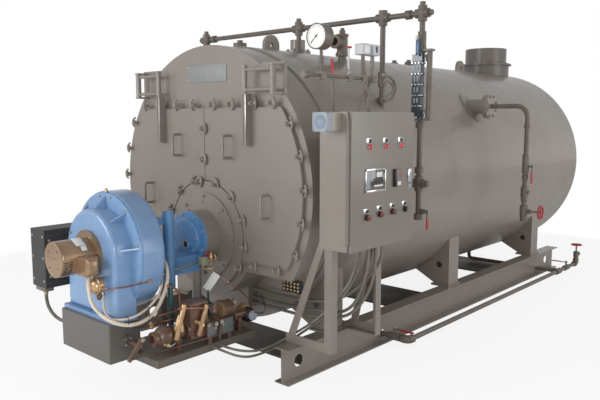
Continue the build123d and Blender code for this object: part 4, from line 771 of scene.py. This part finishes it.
# Pressure switches: covers with windows, and the pale tee on the manifold
for name, y in (("switchCoverFront", 0.262), ("switchCoverRear", 0.348)):
    setBox(name, (0.942, y - 0.032, 1.799), (1.0022, y + 0.032, 1.8566), switchPale, 0.004, 3)
setBox("switchWindow", (1.0018, 0.338, 1.814), (1.0036, 0.354, 1.846), blackInkAndShade, 0.001)
setBox("switchCard", (1.0018, 0.240, 1.808), (1.0034, 0.284, 1.848), dialWhite, 0.001)
setBox("manifoldTee", (0.9535, 0.1215, 1.6565), (0.9905, 0.1585, 1.6935), hornGrey, 0.003)
setTurned("teePlug", [(0, 0.014), (0.010, 0.014), (0.012, 0.009), (0.026, 0.008)],
          [((0.972, 0.140, 1.692), up)], zincSkin, 6)
wire("switchRiserFront", [
    (974, 262, 1800), (974, 268, 1745), (975, 280, 1690), (990, 280, 1590), (1004, 280, 1496.5)], 8.5,
    rigidGrey)
wire("switchRiserRear", [
    (972, 348, 1800), (972, 352, 1735), (976, 330, 1655), (984, 270, 1600), (992, 215, 1560),
    (1000, 200, 1496.5)], 10.5, rigidGrey)
wire("syphonOuter", [
    (970, 455, 1705), (970, 545, 1700), (970, 585, 1640), (970, 560, 1580), (970, 490, 1560),
    (970, 455, 1575)], 8.5, rigidGrey)
wire("syphonInner", [
    (985, 450, 1672), (985, 515, 1668), (985, 540, 1630), (985, 515, 1594), (985, 450, 1590)], 7,
    rigidGrey)
wire("teeRiser", [(972, 140, 1716), (972, 140, 1760), (972, 140, 1826)], 5.2, boltSteel)
knob = joinPieces([boxPart((-long, -wide, 0), (long, wide, 0.010))
                   for long, wide in ((0.016, 0.004), (0.004, 0.016))])
finishPiece(setCopies(knob, [((0.972, 0.140, 1.824), up, radians(40))]), "teeKnob", redDip)
wire("redStub", [(972, 10, 1690), (972, 6, 1730), (974, 2, 1762)], 7.5, redDip)

# Sounder: framed front with a round grille and corner screws
horn = {"x": (0.998, 1.092), "z": (1.400, 1.494), "bar": 0.007}
hornBars = [boxPart((x[0], -0.1765, z[0]), (x[1], -0.1735, z[1]), 0.0012)
            for x, z in frameSpans(horn["x"], horn["z"], horn["bar"])]
finishPiece(joinPieces(hornBars), "hornFrame", hornGrey)
setBox("hornBackBox", (0.9974, -0.1364, 1.4034), (1.0926, -0.0702, 1.4906), boxBeige, 0.003)
setTurned("hornGrille", [
    (0, 0.034), (0.002, 0.034), (0.0035, 0.031), (0.0015, 0.029), (0.0015, 0.025), (0.003, 0.023),
    (0.001, 0.021), (0.001, 0.014), (0.0025, 0.012), (0.0026, 0.003)],
    [((1.045, -0.1738, 1.447), front)], hornBlue, 40)
setTurned("hornScrews", [(0, 0.0038), (0.0022, 0.0038), (0.003, 0.0025)],
          [((x, -0.1742, z), front) for x in (1.010, 1.080) for z in (1.412, 1.482)], boltSteel, 14)
print("dial, switches and sounder dressed")

# Gauge glass: clamp bolts in pairs, pale glass strips and the small cocks
glassRows = [1.790, 1.727, 1.664, 1.601, 1.538]
glassBolts = [((x, 0.796, z), front) for z in glassRows for x in (0.948, 0.970, 0.993)]
glassBolts += [((1.000, y, z), right) for z in glassRows for y in (0.806, 0.830)]
setTurned("glassBolts", [(0, 0.0078), (0.007, 0.0078), (0.009, 0.005), (0.012, 0.0045)], glassBolts,
          brightSteelAndHighlight, 6)
strips = [boxPart((x0, 0.7935, low), (x1, 0.797, high), 0.0012)
          for low, high in ((1.744, 1.776), (1.682, 1.712), (1.618, 1.650), (1.556, 1.586))
          for x0, x1 in ((0.955, 0.965), (0.976, 0.987))]
finishPiece(joinPieces(strips), "glassStrips", hornGrey)
for name, z in (("glassCockTop", 1826), ("glassCockLow", 1502)):
    wire(name, [(998, 812, z), (1018, 808, z), (1026, 806, z - 10), (1028, 806, z - 26)], 4, brightSteelAndHighlight)

# Lever sleeves over the outer part of each arm
sleeves = {
    "column_valve_lever": ((0.9735, 0.7770, 1.832), (0.9965, 0.7855, 1.921), blueDip),
    "column_drain_lever": ((1.0460, 0.8185, 0.794), (1.0545, 0.8415, 0.866), redDip),
    "feed_valve_lever": ((1.1868, 2.0185, 0.997), (1.1955, 2.0415, 1.080), redDip),
    "front_drain_lever": ((0.848, 0.8685, 0.0990), (0.9388, 0.8915, 0.1075), redDip),
    "rear_drain_lever": ((0.7712, 3.6285, 0.0990), (0.858, 3.6515, 0.1075), redDip)}
for body, (low, high, finish) in sleeves.items():
    setBox("sleeve_" + body, low, high, finish, 0.0034, 3, body)
leverNuts = {
    "column_valve_lever": ((0.985, 0.7745, 1.935), front),
    "column_drain_lever": ((1.0565, 0.830, 0.902), right),
    "feed_valve_lever": ((1.1975, 2.030, 1.120), right),
    "front_drain_lever": ((0.800, 0.880, 0.1095), up),
    "rear_drain_lever": ((0.905, 3.640, 0.1095), up),
    "blowdown_handwheel": ((0.905, 3.900, 0.2420), up)}
for body, place in leverNuts.items():
    setBolts("nut_" + body, 0.0072, [place], boltSteel, body)
print("levers dressed")

# Pilot and gas lines beside the burner head, with the bare tag
setBox("pilotValveBox", (0.137, -0.204, 0.615), (0.183, -0.166, 0.660), paleGreen, 0.003)
setTurned("pilotFittings", [(0, 0.0095), (0.012, 0.0095), (0.014, 0.007), (0.030, 0.0065)], [
    ((0.160, -0.185, 0.616), down), ((0.183, -0.170, 0.640), (1, 0.4, 0)),
    ((0.200, -0.143, 0.600), (0.2, 0.1, -1)), ((0.136, -0.170, 0.602), (-1, 0.3, 0))], brassBright, 6)
wire("pilotTube", [
    (158, -200, 638), (158, -240, 636), (160, -360, 620), (158, -470, 603), (140, -500, 598),
    (118, -500, 597)], 5.8, brightSteelAndHighlight)
wire("pilotPipe", [
    (119, -176, 598), (140, -186, 590), (170, -178, 588), (202, -150, 590)], 5.8, brassBright)
setTurned("pilotCock", [
    (0, 0.008), (0.010, 0.0085), (0.022, 0.0105), (0.040, 0.0125), (0.056, 0.0105), (0.064, 0.007),
    (0.074, 0.006)], [((0.182, -0.142, 0.608), up)], brassBright, 20)
setBox("pilotCockHandle", (0.172, -0.180, 0.672), (0.184, -0.148, 0.682), redDip, 0.003, 3)
wire("pilotStay", [(194, -128, 668), (205, -120, 655), (203, -124, 635)], 4.5, brassBright)
wire("copperLine", [
    (202, -141, 586), (232, -116, 548), (290, -75, 492), (340, -62, 465), (418, -60, 432),
    (458, -61, 405), (462, -62, 385), (446, -62, 374)], 4, copperTube)
tag = boxPart((-0.0007, -0.056, -0.025), (0.0007, 0.056, 0.025), 0.0006)
tag.rotation_euler = (radians(60), radians(-20), radians(-60))
tag.location = (0.222, -0.176, 0.519)
finishPiece(tag, "bareTag", labelWhite)
wire("tagString", [(221, -138, 552), (218, -132, 566), (206, -140, 584)], 0.9, blackInkAndShade)

# Gas train: brass arms, cone and tie rod, copper pipes, governor cover, regulator
arms = {"x": (0.4562, 0.4698), "width": 0.0235}
for name, top, foot in (("brassArmFront", (-0.561, 0.512), (-0.619, 0.340)),
                        ("brassArmRear", (-0.414, 0.480), (-0.472, 0.326))):
    finishPiece(barAcross(*arms["x"], top, foot, arms["width"]), name, brassBright)
setTurned("brassCone", [(0, 0.030), (0.030, 0.024), (0.060, 0.016), (0.080, 0.010), (0.084, 0.008)],
          [((0.437, -0.580, 0.372), (0, 0.10, 1))], brassBright)
finishPiece(barAcross(0.4574, 0.4686, (-0.602, 0.500), (-0.309, 0.441), 0.0092, 0.003), "tieRodSleeve",
            copperTube)
wire("gasCopperUpper", [
    (350, -668, 447), (352, -610, 450), (350, -520, 449), (350, -500, 452)], 5.5, copperTube)
wire("gasCopperLower", [
    (350, -712, 410), (352, -640, 413), (350, -540, 409), (350, -519, 408)], 6.5, copperTube)
wire("gasCopperRise", [
    (350, -500, 440), (350, -500, 480), (350, -505, 530), (348, -516, 566), (340, -546, 578),
    (320, -566, 590)], 5.5, copperTube)
setBox("shelfLeg", (0.276, -0.530, 0.256), (0.300, -0.506, 0.585), tealSteel)
wire("shelfPost", [(300, -266, 256), (300, -266.5, 360), (300, -267, 500)], 6.5, tealSteel)
setTurned("gasPlugs", [
    (0, 0.010), (0.012, 0.010), (0.014, 0.0065), (0.026, 0.006), (0.028, 0.009), (0.036, 0.009)],
    [((0.430, -0.668, 0.324), right), ((0.360, -0.690, 0.398), (0.3, -0.5, 1)),
     ((0.440, -0.448, 0.372), (1, 0, 0.2)), ((0.444, -0.478, 0.400), right)], brassBright, 12)
wire("petcockPipe", [
    (452, -668, 324), (466, -664, 318), (474, -650, 320), (478, -636, 330)], 4, brightSteelAndHighlight)
setTurned("governorCover", [
    (0, 0.0515), (0.006, 0.0515), (0.007, 0.045), (0.010, 0.044), (0.014, 0.030), (0.018, 0.012),
    (0.0185, 0.004)], [((0.400, -0.268, 0.406), front)], motorBronze, 40)
eye = [(400 + 4 * step, -185 + 13 * cos(radians(turn)), 446 + 13 * sin(radians(turn)))
       for step, turn in enumerate(around(8) + [0])]
wire("brassEye", eye, 4, brassBright)
setTurned("regulatorFlange", [
    (0, 0.053), (0.020, 0.053), (0.021, 0.046), (0.033, 0.046), (0.034, 0.0515), (0.043, 0.0515),
    (0.044, 0.040)], [((0.343, -0.060, 0.335), right)], brassBright, 40)
setTurned("regulatorBody", [(0, 0.042), (0.014, 0.044), (0.036, 0.043), (0.048, 0.036), (0.058, 0.030)],
          [((0.384, -0.060, 0.335), right)], blackInkAndShade, 28)
setTurned("regulatorCap", [(0, 0.029), (0.014, 0.029), (0.016, 0.0265), (0.0165, 0.012)],
          [((0.441, -0.060, 0.338), right)], hornGrey, 28)
setBolts("regulatorBolts", 0.005, aroundX((-0.060, 0.335), 0.386, 0.045, around(8, 12)), brassBright)
wire("regulatorCable", [
    (452, -58, 360), (500, -50, 352), (520, -30, 376), (505, -22, 418), (470, -16, 452)], 3, blackInkAndShade)
setBox("actuatorSkin", (0.4606, -0.409, 0.291), (0.4622, -0.225, 0.374), driveGrey, 0.0006)
setTurned("damperBoss", [(0, 0.029), (0.003, 0.029), (0.004, 0.015), (0.010, 0.014)],
          [((0.2402, -0.768, 0.322), right)], brightSteelAndHighlight, 28)
print("gas side dressed")


# Floor: a white card that glows for the camera and fades into the white around it
studio = {"floor": (252, 252, 252), "floorRough": 0.6, "floorShine": 0.2, "white": 0.86,
          "fadeCentre": (0, 1.6, 0), "fadeFrom": 2.6, "fadeTo": 4.2, "skyLow": 0.8, "skyHigh": 0.26}
deselectAll()
bpy.ops.mesh.primitive_plane_add(size=60, location=(0, 0, -0.001))
floor = bpy.context.object
floor.name = "floor"
floorCard = bpy.data.materials.new("floorCard")
floorCard.use_nodes = True
tree = floorCard.node_tree
card = fillNode(tree, tree.nodes["Principled BSDF"], {
    "Base Color": paintTone(*studio["floor"]), "Roughness": studio["floorRough"],
    "Specular IOR Level": studio["floorShine"]}, {})
whiteGlow = addNode(tree, "Emission", {"Color": (1, 1, 1, 1)})
reach = addNode(tree, "VectorMath")
reach.operation = "DISTANCE"
fillNode(tree, reach, {1: studio["fadeCentre"]}, {0: addNode(tree, "TexCoord").outputs["Object"]})
fade = addNode(tree, "MapRange", {"From Min": studio["fadeFrom"], "From Max": studio["fadeTo"]},
               {"Value": reach.outputs["Value"]})


# 1 where the camera looks, straight or through glass, else 0
def seenByCamera(tree):
    ray = addNode(tree, "LightPath").outputs
    return mathNode(tree, "MAXIMUM", ray["Is Camera Ray"], ray["Is Transmission Ray"])


whiteShare = mathNode(tree, "MAXIMUM", fade.outputs["Result"], studio["white"])
blend = addNode(tree, "MixShader", {}, {
    "Fac": mathNode(tree, "MULTIPLY", whiteShare, seenByCamera(tree)), 1: card.outputs["BSDF"],
    2: whiteGlow.outputs["Emission"]})
tree.links.new(blend.outputs["Shader"], tree.nodes["Material Output"].inputs["Surface"])
floor.data.materials.append(floorCard)

# World: white for the camera; for all else brightest at the horizon and below, dimmer overhead
world = bpy.data.worlds.new("studio")
bpy.context.scene.world = world
world.use_nodes = True
tree = world.node_tree
height = addNode(tree, "SeparateXYZ", {}, {"Vector": addNode(tree, "TexCoord").outputs["Generated"]})
level = addNode(tree, "MapRange", {"To Min": studio["skyLow"], "To Max": studio["skyHigh"]},
                {"Value": height.outputs["Z"]})
strength = addNode(tree, "MapRange", {"To Max": 1.0},
                   {"Value": seenByCamera(tree), "To Min": level.outputs["Result"]})
fillNode(tree, tree.nodes["Background"], {"Color": (1, 1, 1, 1)}, {"Strength": strength.outputs["Result"]})

# Lamps: where each stands, what it looks at, its width and height, its power
lamps = {
    "topLamp": ((0.5, 1.2, 4.6), (0, 1.6, 1.0), (4.5, 3.0), 6),
    "sideLamp": ((4.6, 3.2, 1.6), (0, 2.2, 1.2), (2.6, 2.0), 44),
    "frontLamp": ((-1.6, -4.4, 2.4), (0, 0, 0.9), (2.4, 2.0), 86),
    "burnerLamp": ((2.6, -3.2, 1.3), (0.3, -0.4, 0.5), (1.2, 1.0), 32)}
for name, (spot, aim, size, power) in lamps.items():
    data = bpy.data.lights.new(name, "AREA")
    data.shape = "RECTANGLE"
    data.size = size[0]
    data.size_y = size[1]
    data.energy = power
    lamp = bpy.data.objects.new(name, data)
    lamp.location = spot
    lamp.rotation_euler = (Vector(aim) - Vector(spot)).to_track_quat("-Z", "Y").to_euler()
    bpy.context.collection.objects.link(lamp)
print("studio lit")
